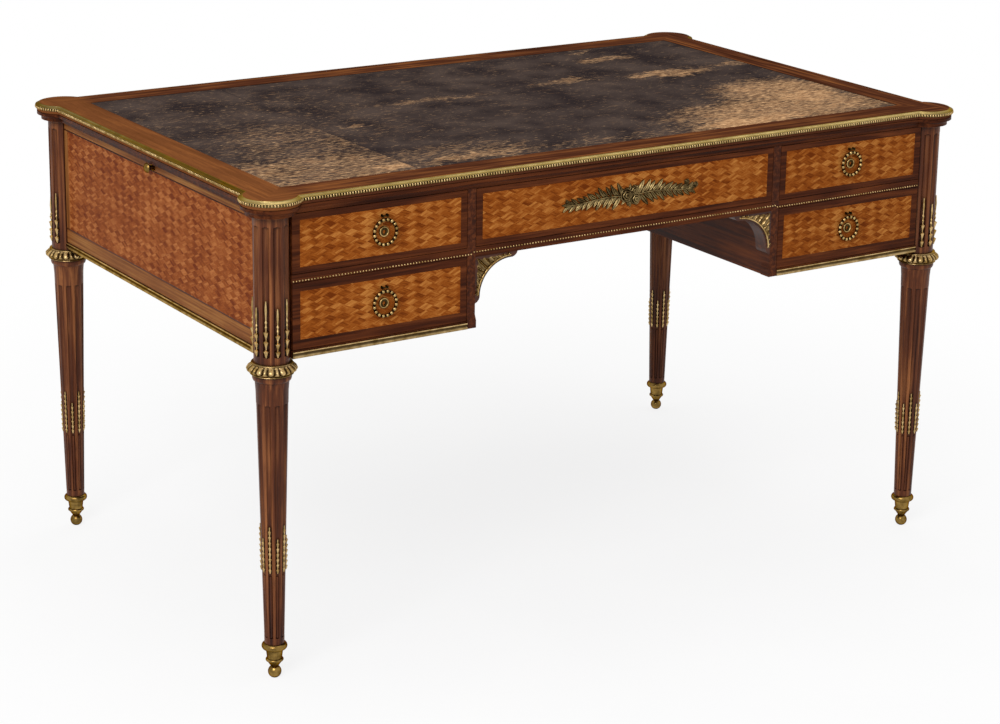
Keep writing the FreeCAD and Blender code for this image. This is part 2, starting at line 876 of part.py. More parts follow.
def plinth(name, side, end):
    """Foot block of a knee wall, its two outer faces sloped back to the wall at the top.

    Two prisms, one with each slope, share the block.
    """
    top = case_bottom + s.plinth_height
    turn = top - s.plinth_slope
    inside = s.knee_half_width - s.plinth_proud
    outside = front_face + s.plinth_proud
    across = [
        (inside * side, case_bottom),
        (knee_out * side, case_bottom),
        (knee_out * side, top),
        (s.knee_half_width * side, top),
        (inside * side, turn),
    ]
    away = [
        (back_inside * end, case_bottom),
        (outside * end, case_bottom),
        (outside * end, turn),
        (front_face * end, top),
        (back_inside * end, top),
    ]
    start, stop = mirrored(side, (inside, knee_out))
    return overlap_of(
        name,
        padded(name + "_across", "XZ_Plane", across, outside * 2, None, -outside),
        padded(name + "_away", "YZ_Plane", away, stop - start, None, start),
    )


def make_case():
    """End panels, knee walls, floors, dividers and the fixed back."""
    backs = []
    back = (back_inside, front_face)
    for word, side in SIDES.items():
        keep(box("end_" + word, mirrored(side, (end_inside, end_face)), (-seat_y, seat_y),
                 (case_bottom, end_top)), "end_panel_" + word)
        keep(knee_wall(word, side), "knee_wall_" + word)
        keep(shelf("floor_" + word, side, case_bottom, floor_top), "pedestal_floor_" + word)
        keep(shelf("shelf_" + word, side, divider_bottom, divider_top), "divider_" + word)
        span = mirrored(side, (knee_out, seat_x))
        backs.append(box("back_upper_" + word, span, back, (divider_top, cornice_bottom)))
        backs.append(box("back_lower_" + word, span, back, (floor_top, divider_bottom)))
    across = (-s.knee_half_width, s.knee_half_width)
    keep(box("divider_middle", across, (-front_face, front_face), (centre_divider_bottom, divider_top)),
         "divider_centre")
    backs.append(box("back_middle", across, back, (divider_top, cornice_bottom)))
    keep(group("backs", *backs), "back_panels")


def base_strip(name, role, face, away, start, length):
    """Brass strip along the foot of the case, a round moulding over a flat fillet."""
    top = case_bottom + s.base_strip_height
    fillet = case_bottom + s.base_strip_fillet
    inner = face * away
    lip = (face + s.base_strip_lip) * away
    outer = (face + s.base_strip_proud) * away
    points = [
        (inner, case_bottom),
        (outer, case_bottom),
        (outer, fillet),
        (lip, fillet),
        (lip, top),
        (inner, top),
    ]
    swell = bulge_radius(s.base_strip_height - s.base_strip_fillet, s.base_strip_lip)
    return padded(name, role, points, length, {3: (swell, -away)}, start)


def make_strips():
    """Brass strip round the foot of each pedestal and the bead row along the rails."""
    strips = []
    for word, side in SIDES.items():
        start, stop = mirrored(side, (knee_out, seat_x))
        strips.append(base_strip("strip_front_" + word, "YZ_Plane", front_face, -1, start, stop - start))
        strips.append(base_strip("strip_back_" + word, "YZ_Plane", front_face, 1, start, stop - start))
        strips.append(base_strip("strip_end_" + word, "XZ_Plane", end_face, side, -seat_y, seat_y * 2))
    keep(group("strips", *strips), "base_strips")
    level = divider_top - s.bead_strip_drop - s.bead_strip_radius
    step = s.knee_half_width + s.wall_thickness / 2
    runs = {
        "left": (-seat_x, -step, level - s.bead_strip_jog),
        "middle": (-step, step, level),
        "right": (step, seat_x, level - s.bead_strip_jog),
    }
    beads = []
    for word, end, turn in (("front", -1, 180), ("back", 1, 0)):
        for part, (start, stop, height) in runs.items():
            bead = cylinder("bead_%s_%s" % (word, part), s.bead_strip_radius, stop - start,
                            start, front_face * end, height, "x")
            bead.Angle = 180
            bead.Placement.Rotation = Rotation(Vector(1, 0, 0), turn) * Rotation(Vector(0, 1, 0), 90)
            beads.append(bead)
    keep(group("beads", *beads), "bead_strips")


def bracket(name, side, steps, noses, near, depth):
    """Plate in an upper corner of the kneehole, its third edge hollowed to a quarter circle.

    steps holds its corners as distances from the wall and from the rail above,
    and noses the edges that swell beside the hollow.
    """
    points = [((s.knee_half_width - across) * side, centre_divider_bottom - down) for across, down in steps]
    run = steps[2][0] - steps[3][0]
    fall = steps[3][1] - steps[2][1]
    arcs = {2: (root((run * run + fall * fall) / 2), side)}
    arcs.update({edge: (s.bracket_nose_radius, -side) for edge in noses})
    return padded(name, "XZ_Plane", points, depth, arcs, near)


def make_brackets():
    """Wooden brackets with swelling ends, and the gilt mounts on their fronts."""
    none = as_dim(0)
    lip = s.bracket_lip
    reach = s.bracket_width - s.bracket_nose
    fall = s.bracket_height - s.bracket_nose
    wood = [(none, none), (s.bracket_width, none), (reach, lip), (lip, fall), (none, s.bracket_height)]
    margin = s.bracket_mount_margin
    tip = lip - margin
    leaf = [(margin, margin), (reach, margin), (reach, tip), (tip, fall), (margin, fall)]
    mounts = []
    for word, side in SIDES.items():
        keep(bracket("bracket_" + word, side, wood, (1, 3), front_face - s.bracket_depth, s.bracket_depth),
             "knee_bracket_" + word)
        mounts.append(bracket("bracket_leaf_" + word, side, leaf, (), front_face, s.bracket_mount_thickness))
    keep(group("bracket_leaves", *mounts), "bracket_mounts")


# Drawers
drawer_back_of_front = -front_face + s.drawer_front_thickness


def make_drawer(name, across, bottom, top, box_height, pull_x=None):
    """Front and box of one drawer, with pull and lock where pull_x says where they sit."""
    left, right = across
    front = box(name + "_face", (left + s.drawer_gap, right - s.drawer_gap),
                (-front_face, drawer_back_of_front), (bottom + s.drawer_gap, top - s.drawer_gap))
    if pull_x is None:
        keep(front, name + "_front")
    else:
        middle = (bottom + top) / 2
        hole = cylinder(name + "_keyhole", s.keyhole_radius, s.drawer_front_thickness, pull_x,
                        drawer_back_of_front, middle, "-y")
        keep(cut(name + "_bored", front, hole), name + "_front")
        make_pull(name, pull_x, middle)
        make_lock(name, pull_x, middle)
    low = bottom + s.drawer_run_gap
    high = low + box_height
    rear = back_inside - s.drawer_back_clearance
    outer = (left + s.drawer_side_gap, right - s.drawer_side_gap)
    inner = (outer[0] + s.drawer_side_thickness, outer[1] - s.drawer_side_thickness)
    panel_low = low + s.drawer_bottom_rise
    panel_high = panel_low + s.drawer_bottom_thickness
    back_front = rear - s.drawer_back_thickness
    pieces = [
        box(name + "_side_a", (outer[0], inner[0]), (drawer_back_of_front, rear), (low, high)),
        box(name + "_side_b", (inner[1], outer[1]), (drawer_back_of_front, rear), (low, high)),
        box(name + "_rear", inner, (back_front, rear), (panel_high, high)),
        box(name + "_bottom", inner, (drawer_back_of_front, rear), (panel_low, panel_high)),
    ]
    keep(group(name + "_pieces", *pieces), name + "_box")


def make_lock(name, x, z):
    """Lock case behind the front, with the pin that guides the key."""
    half = s.lock_width / 2
    rise = s.lock_height / 2
    case = box(name + "_lock_case", (x - half, x + half),
               (drawer_back_of_front, drawer_back_of_front + s.lock_thickness), (z - rise, z + rise))
    pin = cylinder(name + "_lock_pin", s.keyhole_slot_width / 2,
                   s.drawer_front_thickness - s.plate_thickness, x, drawer_back_of_front, z, "-y")
    keep(fuse(name + "_lock_whole", case, pin), name + "_lock")


def make_pull(name, x, z):
    """Ring on its post, round a keyhole plate."""
    hang = -(front_face + s.ring_stand + s.ring_wire)
    pivot = z + s.ring_radius + s.ring_wire + s.knuckle_radius - s.knuckle_bite
    plate = cylinder(name + "_plate_disc", s.plate_radius, s.plate_thickness, x, -front_face, z, "-y")
    hole = cylinder(name + "_plate_hole", s.keyhole_radius, s.plate_thickness, x, -front_face, z, "-y")
    slot_half = s.keyhole_slot_width / 2
    slot = box(name + "_plate_slot", (x - slot_half, x + slot_half),
               (-front_face - s.plate_thickness, -front_face), (z - s.keyhole_slot_length, z))
    plate = cut(name + "_plate", plate, fuse(name + "_plate_keyhole", hole, slot))
    near = s.knuckle_length / 2 + s.cheek_gap
    far = near + s.cheek_width
    post = [cylinder(name + "_pin", s.pin_radius, far * 2, x - far, hang, pivot, "x")]
    for word, start in (("a", x - far), ("b", x + near)):
        post.append(cylinder(name + "_cheek_" + word, s.cheek_radius, s.cheek_width,
                             start, hang, pivot, "x"))
        post.append(box(name + "_stem_" + word, (start, start + s.cheek_width), (hang, -front_face),
                        (pivot - s.cheek_radius, pivot + s.cheek_radius)))
    keep(group(name + "_fittings", plate, fuse(name + "_post", *post)), name + "_keyhole_plate")
    ring = doc.addObject("Part::Torus", name + "_ring_wire")
    bind(ring, Radius1=s.ring_radius, Radius2=s.ring_wire)
    ring.Placement = Placement(Vector(), Rotation(Vector(1, 0, 0), 90))
    place(ring, x, hang, z)
    start = x - s.knuckle_length / 2
    bore_radius = s.pin_radius + s.pin_clearance
    knuckle = cylinder(name + "_knuckle", s.knuckle_radius, s.knuckle_length, start, hang, pivot, "x")
    bore = cylinder(name + "_bore", bore_radius, s.knuckle_length, start, hang, pivot, "x")
    keep(cut(name + "_ring_whole", fuse(name + "_ring_blank", ring, knuckle), bore), name + "_ring")


def make_spray():
    """Gilt leaf spray along the centre drawer, two tapering sprigs and a rosette."""
    middle = (divider_top + cornice_bottom) / 2
    half = s.spray_length / 2
    rise = s.spray_height / 2
    curve = (half * half + rise * rise) / (2 * rise)
    sprigs = padded("sprigs", "XZ_Plane", [(-half, middle), (half, middle)], s.spray_thickness,
                    {0: (curve, 1), 1: (curve, 1)}, front_face)
    flower = cylinder("rosette", s.rosette_radius, s.rosette_thickness, 0, -front_face, middle, "-y")
    keep(fuse("spray", sprigs, flower), "centre_spray")


def make_drawers():
    """Two drawers in each pedestal and one over the kneehole."""
    for word, side in SIDES.items():
        across = mirrored(side, (knee_out, seat_x))
        pull = s.pull_x * side
        make_drawer("drawer_upper_" + word, across, divider_top, cornice_bottom, s.upper_box_height, pull)
        make_drawer("drawer_lower_" + word, across, floor_top, divider_bottom, s.lower_box_height, pull)
    across = (-s.knee_half_width, s.knee_half_width)
    make_drawer("drawer_centre", across, divider_top, cornice_bottom, s.upper_box_height)
    make_spray()


# Writing slides
def make_knob(word, side):
    """Turned knob on the front of a slide, its crown part of a ball."""
    crown_radius = (s.knob_radius * s.knob_radius + s.knob_crown * s.knob_crown) / (2 * s.knob_crown)
    outline = [
        (0, 0),
        (s.knob_plate_radius, 0),
        (s.knob_plate_radius, s.knob_plate_thickness),
        (s.knob_neck_radius, s.knob_plate_thickness),
        (s.knob_neck_radius, s.knob_neck_length),
        (s.knob_radius, s.knob_length - s.knob_crown),
        (0, s.knob_length),
    ]
    knob = turned("knob_" + word, outline, {5: (crown_radius, -1)})
    knob.Placement = Placement(Vector(), Rotation(Vector(0, 1, 0), 90 * side))
    place(knob, end_face * side, 0, (slide_bottom + slide_top) / 2)
    return keep(knob, "slide_knob_" + word)


def make_slides():
    """Two boards under the top that pull out at the ends, and what carries them."""
    bearers = []
    spare = (s.slide_front_height - s.slide_board_thickness) / 2
    board = (slide_bottom + spare, slide_bottom + spare + s.slide_board_thickness)
    bearer_top = board[0] - s.drawer_run_gap
    half = seat_y - s.slide_board_margin
    strip = end_face - s.slide_front_thickness
    for word, side in SIDES.items():
        keep(box("slide_strip_" + word, mirrored(side, (strip, end_face)),
                 (-seat_y + s.slide_gap, seat_y - s.slide_gap), (slide_bottom, slide_top)),
             "slide_front_" + word)
        keep(box("slide_plate_" + word, mirrored(side, (knee_out + s.slide_back_gap, strip)),
                 (-half, half), board),
             "slide_board_" + word)
        make_knob(word, side)
        span = mirrored(side, (knee_out, end_inside))
        for row, near in (("front", -half), ("back", half - s.bearer_width)):
            bearers.append(box("bearer_%s_%s" % (row, word), span, (near, near + s.bearer_width),
                               (bearer_top - s.bearer_height, bearer_top)))
    keep(group("bearers", *bearers), "slide_bearers")


make_top()
make_legs()
make_case()
make_strips()
make_brackets()
make_drawers()
make_slides()

# Tests before anything is written
doc.recompute()
failed = [item.Name for item in doc.Objects if {"Invalid", "Error"} & set(item.State)]
failed += [item.Label for item in nodes if item.Shape.isNull() or not item.Shape.isValid()]
if failed:
    raise ValueError("failed: " + ", ".join(failed))
os.makedirs("parts", exist_ok=True)
for item in nodes:
    item.Shape.exportStep("parts/%s.step" % item.Label)
print(len(nodes), "nodes written")
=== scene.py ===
import logging
import math
from dataclasses import dataclass, replace
from enum import Enum
from typing import Any, Mapping, Optional, Sequence, Union

import bmesh
import bpy
import numpy as np
from mathutils import Matrix


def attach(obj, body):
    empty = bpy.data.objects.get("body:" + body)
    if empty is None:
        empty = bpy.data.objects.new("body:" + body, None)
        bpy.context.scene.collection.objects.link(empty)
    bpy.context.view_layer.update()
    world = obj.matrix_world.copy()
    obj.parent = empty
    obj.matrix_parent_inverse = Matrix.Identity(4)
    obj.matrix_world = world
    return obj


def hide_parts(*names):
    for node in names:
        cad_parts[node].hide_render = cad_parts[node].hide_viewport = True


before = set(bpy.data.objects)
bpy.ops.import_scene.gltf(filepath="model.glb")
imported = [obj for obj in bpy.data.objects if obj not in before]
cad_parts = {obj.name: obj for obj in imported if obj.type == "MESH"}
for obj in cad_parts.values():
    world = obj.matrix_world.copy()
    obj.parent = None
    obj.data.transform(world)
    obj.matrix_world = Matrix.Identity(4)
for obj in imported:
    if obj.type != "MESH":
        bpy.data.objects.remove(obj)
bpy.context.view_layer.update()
LOG = logging.getLogger("writing_table")
MM = 0.001
UNTURNED = np.eye(3)
WHITE = "#ffffff"
Span = tuple[float, float]

# Places that several sub-assemblies share, in millimetres
HALF_X = 638.0
HALF_Y = 376.0
TOP = 770.0
FRONT_FACE = 396.0
END_FACE = 649.0
SEAT_X = 614.0
SEAT_Y = 352.0
KNEE_X = 291.5
KNEE_OUT = 306.5
LOZENGE = (26.0, 12.0)
SIDES = {"left": -1.0, "right": 1.0}
CORNERS = np.array([(1, -1), (1, 1), (-1, 1), (-1, -1)])
LEG_NAMES = ("front_right", "back_right", "back_left", "front_left")
LEG_PLACES = np.insert(CORNERS * (HALF_X, HALF_Y), 2, 0.0, axis=1)


# Surfaces

@dataclass(frozen=True)
class Patch:
    """A stretch of surface in millimetres.

    Attributes:
        points: Places, n by 3.
        quads: Corner numbers of the four-sided faces, anticlockwise from outside.
        tris: Corner numbers of the three-sided faces.
        chart: Pattern coordinates, n by 2.
        hollow: 0 on a crest to 1 in a recess, n values; some pieces also carry painted shade in it.
    """

    points: np.ndarray
    quads: np.ndarray
    tris: np.ndarray
    chart: np.ndarray
    hollow: np.ndarray

    def moved(self, place: Sequence[float] = (0.0, 0.0, 0.0), turn: np.ndarray = UNTURNED) -> "Patch":
        """The patch with every point multiplied by turn and then shifted by place."""
        return replace(self, points=self.points @ turn.T + np.asarray(place))

    def mirrored(self) -> "Patch":
        """The patch mirrored from right to left, with its faces turned to stay outside."""
        return replace(self, points=self.points * (-1, 1, 1), quads=self.quads[:, ::-1],
                       tris=self.tris[:, ::-1])


def net(points: np.ndarray, wrap: bool = False, capped: bool = False,
        chart: Optional[np.ndarray] = None, hollow: Optional[np.ndarray] = None) -> Patch:
    """Faces between the neighbours of a grid of points.

    A face joins (i, j), (i, j+1), (i+1, j+1) and (i+1, j), so its outside is the column direction
    crossed with the row direction.

    Args:
        points: Rows by columns by 3.
        wrap: Whether the last column meets the first.
        capped: Whether the first and last rows are closed by a fan to their middle.
        chart: Pattern coordinates, rows by columns by 2.
        hollow: Recess values, rows by columns.

    Returns:
        The surface.
    """
    rows, columns = points.shape[:2]
    index = np.arange(rows * columns).reshape(rows, columns)
    if wrap:
        index = np.hstack([index, index[:, :1]])
    quads = np.stack([index[:-1, :-1], index[:-1, 1:], index[1:, 1:], index[1:, :-1]], -1).reshape(-1, 4)
    flat = points.reshape(-1, 3)
    marks = np.zeros((len(flat), 2)) if chart is None else chart.reshape(-1, 2)
    depth = np.zeros(len(flat)) if hollow is None else hollow.ravel()
    tris = np.empty((0, 3), int)
    if capped:
        across = index.shape[1] - 1
        first, last = np.full(across, len(flat)), np.full(across, len(flat) + 1)
        tris = np.vstack([np.stack([first, index[0, 1:], index[0, :-1]], 1),
                          np.stack([last, index[-1, :-1], index[-1, 1:]], 1)])
        flat = np.vstack([flat, points[0].mean(0), points[-1].mean(0)])
        marks = np.vstack([marks, marks[0], marks[-1]])
        depth = np.append(depth, [depth[0], depth[-1]])
    return Patch(flat, quads, tris, marks, depth)


def turned(radius: np.ndarray, height: np.ndarray, sides: int, hollow: Optional[np.ndarray] = None,
           ring: bool = False) -> Patch:
    """A profile carried round the Z axis: the point at angle t is (r cos t, r sin t, h).

    Args:
        radius: One value for each row, or one for each row and side.
        height: One value for each row, rising on the outside.
        sides: Number of points round the axis.
        hollow: Recess values, rows by sides.
        ring: Whether the profile comes back to its start, so that the ends need no caps.

    Returns:
        The closed turned surface.
    """
    angle = np.arange(sides) * (2 * np.pi / sides)
    reach = np.broadcast_to(radius.reshape(len(height), -1), (len(height), sides))
    rise = np.broadcast_to(np.asarray(height, float)[:, None], reach.shape)
    points = np.stack([reach * np.cos(angle), reach * np.sin(angle), rise], -1)
    return net(points, wrap=True, capped=not ring, hollow=hollow)


def hoop(radius: float, wire: float, sides: int, steps: int, soil: float = 0.0) -> Patch:
    """A ring of round wire: a circle as large as the wire, carried round the Z axis.

    Args:
        radius: Of the ring.
        wire: Radius of the wire.
        sides: Number of points round the ring.
        steps: Number of points round the wire, the last on the first.
        soil: Recess value all over.

    Returns:
        The closed ring.
    """
    turn = np.linspace(0.0, 2 * np.pi, steps)
    hollow = np.full((steps, sides), soil)
    return turned(radius + wire * np.cos(turn), wire * np.sin(turn), sides, hollow, ring=True)


def rod(path: np.ndarray, side: np.ndarray, radius: float, sides: int) -> Patch:
    """A round rod along a path: the point at angle t is path + radius (side cos t - Z sin t).

    Args:
        path: Points of its middle line, n by 3.
        side: The sideways direction, one for all or n by 3.
        radius: Of the rod.
        sides: Number of points round it.

    Returns:
        The rod with closed ends.
    """
    angle = (np.arange(sides) * (2 * np.pi / sides))[None, :, None]
    ring = np.broadcast_to(side, path.shape)[:, None] * np.cos(angle) - np.sin(angle) * (0.0, 0.0, 1.0)
    return net(path[:, None] + radius * ring, wrap=True, capped=True)


def slab(low: Sequence[float], high: Sequence[float]) -> Patch:
    """A box between two corners, its chart the first two coordinates in metres.

    Args:
        low: Lowest corner.
        high: Highest corner.

    Returns:
        The six faces.
    """
    steps = np.arange(8)[:, None] >> np.arange(3) & 1
    points = np.asarray(low) + steps * (np.asarray(high) - np.asarray(low))
    quads = np.array([[0, 2, 3, 1], [4, 5, 7, 6], [0, 1, 5, 4], [2, 6, 7, 3], [0, 4, 6, 2], [1, 3, 7, 5]])
    return Patch(points, quads, np.empty((0, 3), int), points[:, :2] * MM, np.zeros(8))


def copies(patch: Patch, places: np.ndarray, turns: np.ndarray = UNTURNED) -> Patch:
    """The patch repeated: copy k is turned and sized by matrix k and moved to place k.

    Args:
        patch: The shape to repeat.
        places: Where each copy goes, k by 3.
        turns: One 3 by 3 matrix, or k of them.

    Returns:
        All the copies as one surface.
    """
    count = len(places)
    spins = np.broadcast_to(turns, (count, 3, 3))
    points = np.einsum("kij,nj->kni", spins, patch.points) + np.asarray(places)[:, None]
    shift = np.arange(count)[:, None, None] * len(patch.points)
    return Patch(points.reshape(-1, 3), (patch.quads + shift).reshape(-1, 4),
                 (patch.tris + shift).reshape(-1, 3), np.tile(patch.chart, (count, 1)),
                 np.tile(patch.hollow, count))


def joined(*patches: Patch) -> Patch:
    """Several surfaces as one, with the corner numbers of each shifted past the ones before.

    Args:
        patches: The surfaces.

    Returns:
        One surface.
    """
    starts = np.cumsum([0] + [len(p.points) for p in patches[:-1]])
    return Patch(np.vstack([p.points for p in patches]),
                 np.vstack([p.quads + s for p, s in zip(patches, starts)]),
                 np.vstack([p.tris + s for p, s in zip(patches, starts)]),
                 np.vstack([p.chart for p in patches]), np.concatenate([p.hollow for p in patches]))


def relief(plan: np.ndarray, height: np.ndarray, hollow: np.ndarray) -> Patch:
    """A cast ornament on a flat back: front at (u, v, height), back at (u, v, 0).

    The height falls to nothing along the border, where front and back meet.

    Args:
        plan: Rows by columns by 2, columns crossed with rows pointing outwards.
        height: Rows by columns.
        hollow: Recess values, rows by columns.

    Returns:
        The closed surface.
    """
    edge = np.zeros_like(height)
    edge[1:-1, 1:-1] = 1.0
    front = net(np.dstack([plan, height * edge]), hollow=hollow)
    back = net(np.dstack([plan, np.zeros_like(height)])[:, ::-1], hollow=hollow[:, ::-1])
    return joined(front, back)


def leaf(length: float, width: float, height: float, teeth: int = 0) -> Patch:
    """A pointed leaf along X: half width w/2 sin(pi s^0.8)^0.75, less at its teeth, domed, midrib sunk.

    Args:
        length: From stalk to tip.
        width: Across the widest place.
        height: Of the dome over its flat back.
        teeth: Notches along each side.

    Returns:
        The closed leaf with its stalk at the origin.
    """
    s = np.linspace(0.0, 1.0, 13)[:, None]
    t = np.linspace(1.0, -1.0, 7)[None, :]
    notch = 0.22 * np.abs(np.sin(np.pi * teeth * s))
    half = 0.5 * width * np.sin(np.pi * s ** 0.8) ** 0.75 * (1 - notch)
    dome = height * np.sin(np.pi * np.clip(s, 0.02, 0.98)) ** 0.5 * (1 - t ** 2) ** 0.6
    midrib = 0.45 * np.exp(-(t / 0.22) ** 2)
    plan = np.dstack(np.broadcast_arrays(length * s, half * t))
    return relief(plan, dome * (1 - midrib), np.clip(midrib * 1.6 + 1.1 * np.abs(t) ** 3 + 0 * s, 0, 1))


def spin(angles: np.ndarray, sizes: Union[float, np.ndarray] = 1.0) -> np.ndarray:
    """Matrices that turn by each angle in the u, v plane and scale by each size.

    Args:
        angles: In radians.
        sizes: One factor, or one for each angle.

    Returns:
        One 3 by 3 matrix for each angle.
    """
    angles = np.asarray(angles, float)
    made = np.zeros((len(angles), 3, 3))
    made[:, 0, 0] = made[:, 1, 1] = np.cos(angles)
    made[:, 1, 0] = np.sin(angles)
    made[:, 0, 1] = -made[:, 1, 0]
    made[:, 2, 2] = 1.0
    return made * np.reshape(sizes, (-1, 1, 1))


def bead(radius: float) -> Patch:
    """A small ball of a few dozen faces: r sin a round the axis at height -r cos a, from pole to pole.

    Args:
        radius: Of the ball.

    Returns:
        The closed ball about the origin.
    """
    pole = 0.12
    a = np.linspace(pole, np.pi - pole, 5)
    return turned(radius * np.sin(a), -radius * np.cos(a), sides=8)


class Face(Enum):
    """A side of the case, by the directions of its width, its height and its outside."""

    FRONT = ((1, 0, 0), (0, 0, 1), (0, -1, 0))
    BACK = ((-1, 0, 0), (0, 0, 1), (0, 1, 0))
    LEFT = ((0, -1, 0), (0, 0, 1), (-1, 0, 0))
    RIGHT = ((0, 1, 0), (0, 0, 1), (1, 0, 0))

    def stand(self, patch: Patch, place: Sequence[float] = (0.0, 0.0, 0.0)) -> Patch:
        """The patch at a place in width, height and outside, turned to the table's axes."""
        return patch.moved(place).moved(turn=np.array(self.value, float).T)


END_FACES = {"left": Face.LEFT, "right": Face.RIGHT}


# Finishes

def linear(code: str) -> tuple[float, float, float, float]:
    """The linear colour of an sRGB hex value.

    Args:
        code: Such as "#8c7a45".

    Returns:
        Red, green, blue and an alpha of one.
    """
    parts = np.array([int(code[i:i + 2], 16) for i in (1, 3, 5)]) / 255
    values = np.where(parts <= 0.04045, parts / 12.92, ((parts + 0.055) / 1.055) ** 2.4)
    return (*values.tolist(), 1.0)


def per_metre(size: float) -> float:
    """How many pattern steps of this size in millimetres fit in a metre."""
    return 1000.0 / size


def feed(tree: bpy.types.NodeTree, node: bpy.types.Node, values: Mapping[Union[str, int], Any]) -> None:
    """Sets a node's properties and inputs, and links the inputs that other nodes feed.

    Args:
        tree: The material's nodes.
        node: The node to set up.
        values: By property or input, a value, a socket or a node, which gives its first output;
            stops holds a ramp's places and hex colours.
    """
    for key, value in values.items():
        if isinstance(value, bpy.types.Node):
            value = value.outputs[0]
        if isinstance(value, bpy.types.NodeSocket):
            tree.links.new(value, node.inputs[key])
        elif key == "stops":
            marks = node.color_ramp.elements
            while len(marks) < len(value):
                marks.new(1.0)
            for mark, (place, code) in zip(marks, value):
                mark.position = place
                mark.color = linear(code)
        elif isinstance(key, str) and hasattr(node, key):
            setattr(node, key, value)
        else:
            node.inputs[key].default_value = value


def add(tree: bpy.types.NodeTree, kind: str, values: Mapping[Union[str, int], Any] = {}) -> bpy.types.Node:
    """Adds a shader node with its settings and links.

    Args:
        tree: The material's nodes.
        kind: Node type without its prefix.
        values: As feed takes them.

    Returns:
        The node.
    """
    node = tree.nodes.new("ShaderNode" + kind)
    feed(tree, node, values)
    return node


def shown(tree: bpy.types.NodeTree) -> bpy.types.Node:
    """Whether a ray comes from the eye, a reflection or glass.

    Args:
        tree: The nodes of a material or of the world.

    Returns:
        The node that is 1 for those rays and 0 for the rest.
    """
    ray = add(tree, "LightPath").outputs
    seen = add(tree, "Math", {"operation": "MAXIMUM", 0: ray["Is Camera Ray"], 1: ray["Is Glossy Ray"]})
    return add(tree, "Math", {"operation": "MAXIMUM", 0: seen, 1: ray["Is Transmission Ray"]})


@dataclass(frozen=True)
class Finish:
    """A finish that makes its material once and hands it out again."""

    name: str

    def dress(self, tree: bpy.types.NodeTree, shader: bpy.types.Node) -> None:
        """Adds the finish's nodes to a new material."""
        raise NotImplementedError

    def material(self) -> bpy.types.Material:
        """The finish's material.

        Returns:
            The material of that name, made at the first call.
        """
        made = bpy.data.materials.get(self.name)
        if made is None:
            made = bpy.data.materials.new(self.name)
            made.use_nodes = True
            self.dress(made.node_tree, made.node_tree.nodes["Principled BSDF"])
        return made


class Grain(Enum):
    """Which way the fibres of a piece of wood run."""

    X = (1, 0, 0)
    Y = (0, 1, 0)
    Z = (0, 0, 1)
    CHART = (1, 0, 1)

    def scale(self, along: float, across: float) -> tuple[float, ...]:
        """Pattern steps in each direction for two sizes in millimetres."""
        return tuple(per_metre(along if run else across) for run in self.value)


# French-polished cabinet wood: ribbon figure a few millimetres wide that runs with the grain,
# dark open pores, painted shade darkening the hollows where little sky is seen, and its low even gloss.
# Real pores are a fraction of a millimetre wide; they are drawn wider so that they show.
@dataclass(frozen=True)
class PolishedWood(Finish):
    """Solid or veneered wood under polish, its pattern sizes in millimetres.

    The left end is painted lighter, a painted pool of light, between two places along the table, in metres.
    """

    grain: Grain
    dark: str
    middle: str
    light: str
    figure: float = 7.0
    figure_length: float = 210.0
    pore: float = 1.1
    pore_length: float = 26.0
    cloud: float = 130.0
    roughness: float = 0.4
    gloss: float = 0.22
    painted_hollow_shade: float = 0.0
    painted_light_end: float = 0.0
    fade_start: float = -0.585
    fade_full: float = -0.615

    def dress(self, tree: bpy.types.NodeTree, shader: bpy.types.Node) -> None:
        """Adds ribbon figure, cloudy tone, a left end painted lighter, pores and painted shade in the
        hollows.

        Args:
            tree: The material's nodes.
            shader: Its surface shader.
        """
        dark, light = linear(self.dark), linear(self.light)
        place = add(tree, "TexCoord").outputs["Object"]
        where = add(tree, "UVMap", {"uv_map": "chart"}) if self.grain is Grain.CHART else place
        ribbon = add(tree, "Mapping", {"Scale": self.grain.scale(self.figure_length, self.figure), 0: where})
        fibre = add(tree, "Mapping", {"Scale": self.grain.scale(self.pore_length, self.pore), 0: where})
        figure = add(tree, "TexNoise", {"Scale": 1.0, "Detail": 5.0, "Roughness": 0.58, "Distortion": 0.5,
                                        "Vector": ribbon})
        cloud = add(tree, "TexNoise", {"Scale": per_metre(self.cloud), "Detail": 2.0, "Vector": where})
        pores = add(tree, "TexNoise", {"Scale": 1.0, "Detail": 3.0, "Roughness": 0.6, "Vector": fibre})
        tone = add(tree, "Math", {"operation": "MULTIPLY_ADD", 0: cloud, 1: 0.35, 2: figure})
        ground = add(tree, "ValToRGB", {
            "stops": [(0.42, self.dark), (0.66, self.middle), (0.92, self.light)], 0: tone})
        # painted light: the left end is lightened towards the light colour between fade_start and fade_full
        if self.painted_light_end:
            along = add(tree, "SeparateXYZ", {0: place})
            left = add(tree, "MapRange", {"From Min": self.fade_start, "From Max": self.fade_full,
                                          "To Max": self.painted_light_end, 0: along})
            ground = add(tree, "Mix", {"data_type": "RGBA", 0: left, 6: ground, 7: light}).outputs[2]
        opened = add(tree, "MapRange", {"From Min": 0.54, "From Max": 0.72, "To Max": 0.6, 0: pores})
        stained = add(tree, "Mix", {"data_type": "RGBA", 0: opened, 6: ground, 7: dark}).outputs[2]
        # painted shade: darkens towards the dark colour wherever ambient occlusion sees little sky
        if self.painted_hollow_shade:
            sky = add(tree, "AmbientOcclusion", {"samples": 8, "Distance": 0.014}).outputs["AO"]
            depth = add(tree, "MapRange", {"From Min": 0.45, "From Max": 0.95, "To Min": self.painted_hollow_shade,
                                           "To Max": 0.0, 0: sky})
            stained = add(tree, "Mix", {"data_type": "RGBA", 0: depth, 6: stained, 7: dark}).outputs[2]
        sheen = add(tree, "MapRange", {"To Min": self.roughness - 0.08, "To Max": self.roughness + 0.1,
                                       0: figure})
        bump = add(tree, "Bump", {"Strength": 0.12, "Distance": 0.0002, "invert": True, "Height": pores})
        feed(tree, shader, {"Base Color": stained, "Roughness": sheen, "Normal": bump,
                            "Specular IOR Level": self.gloss})
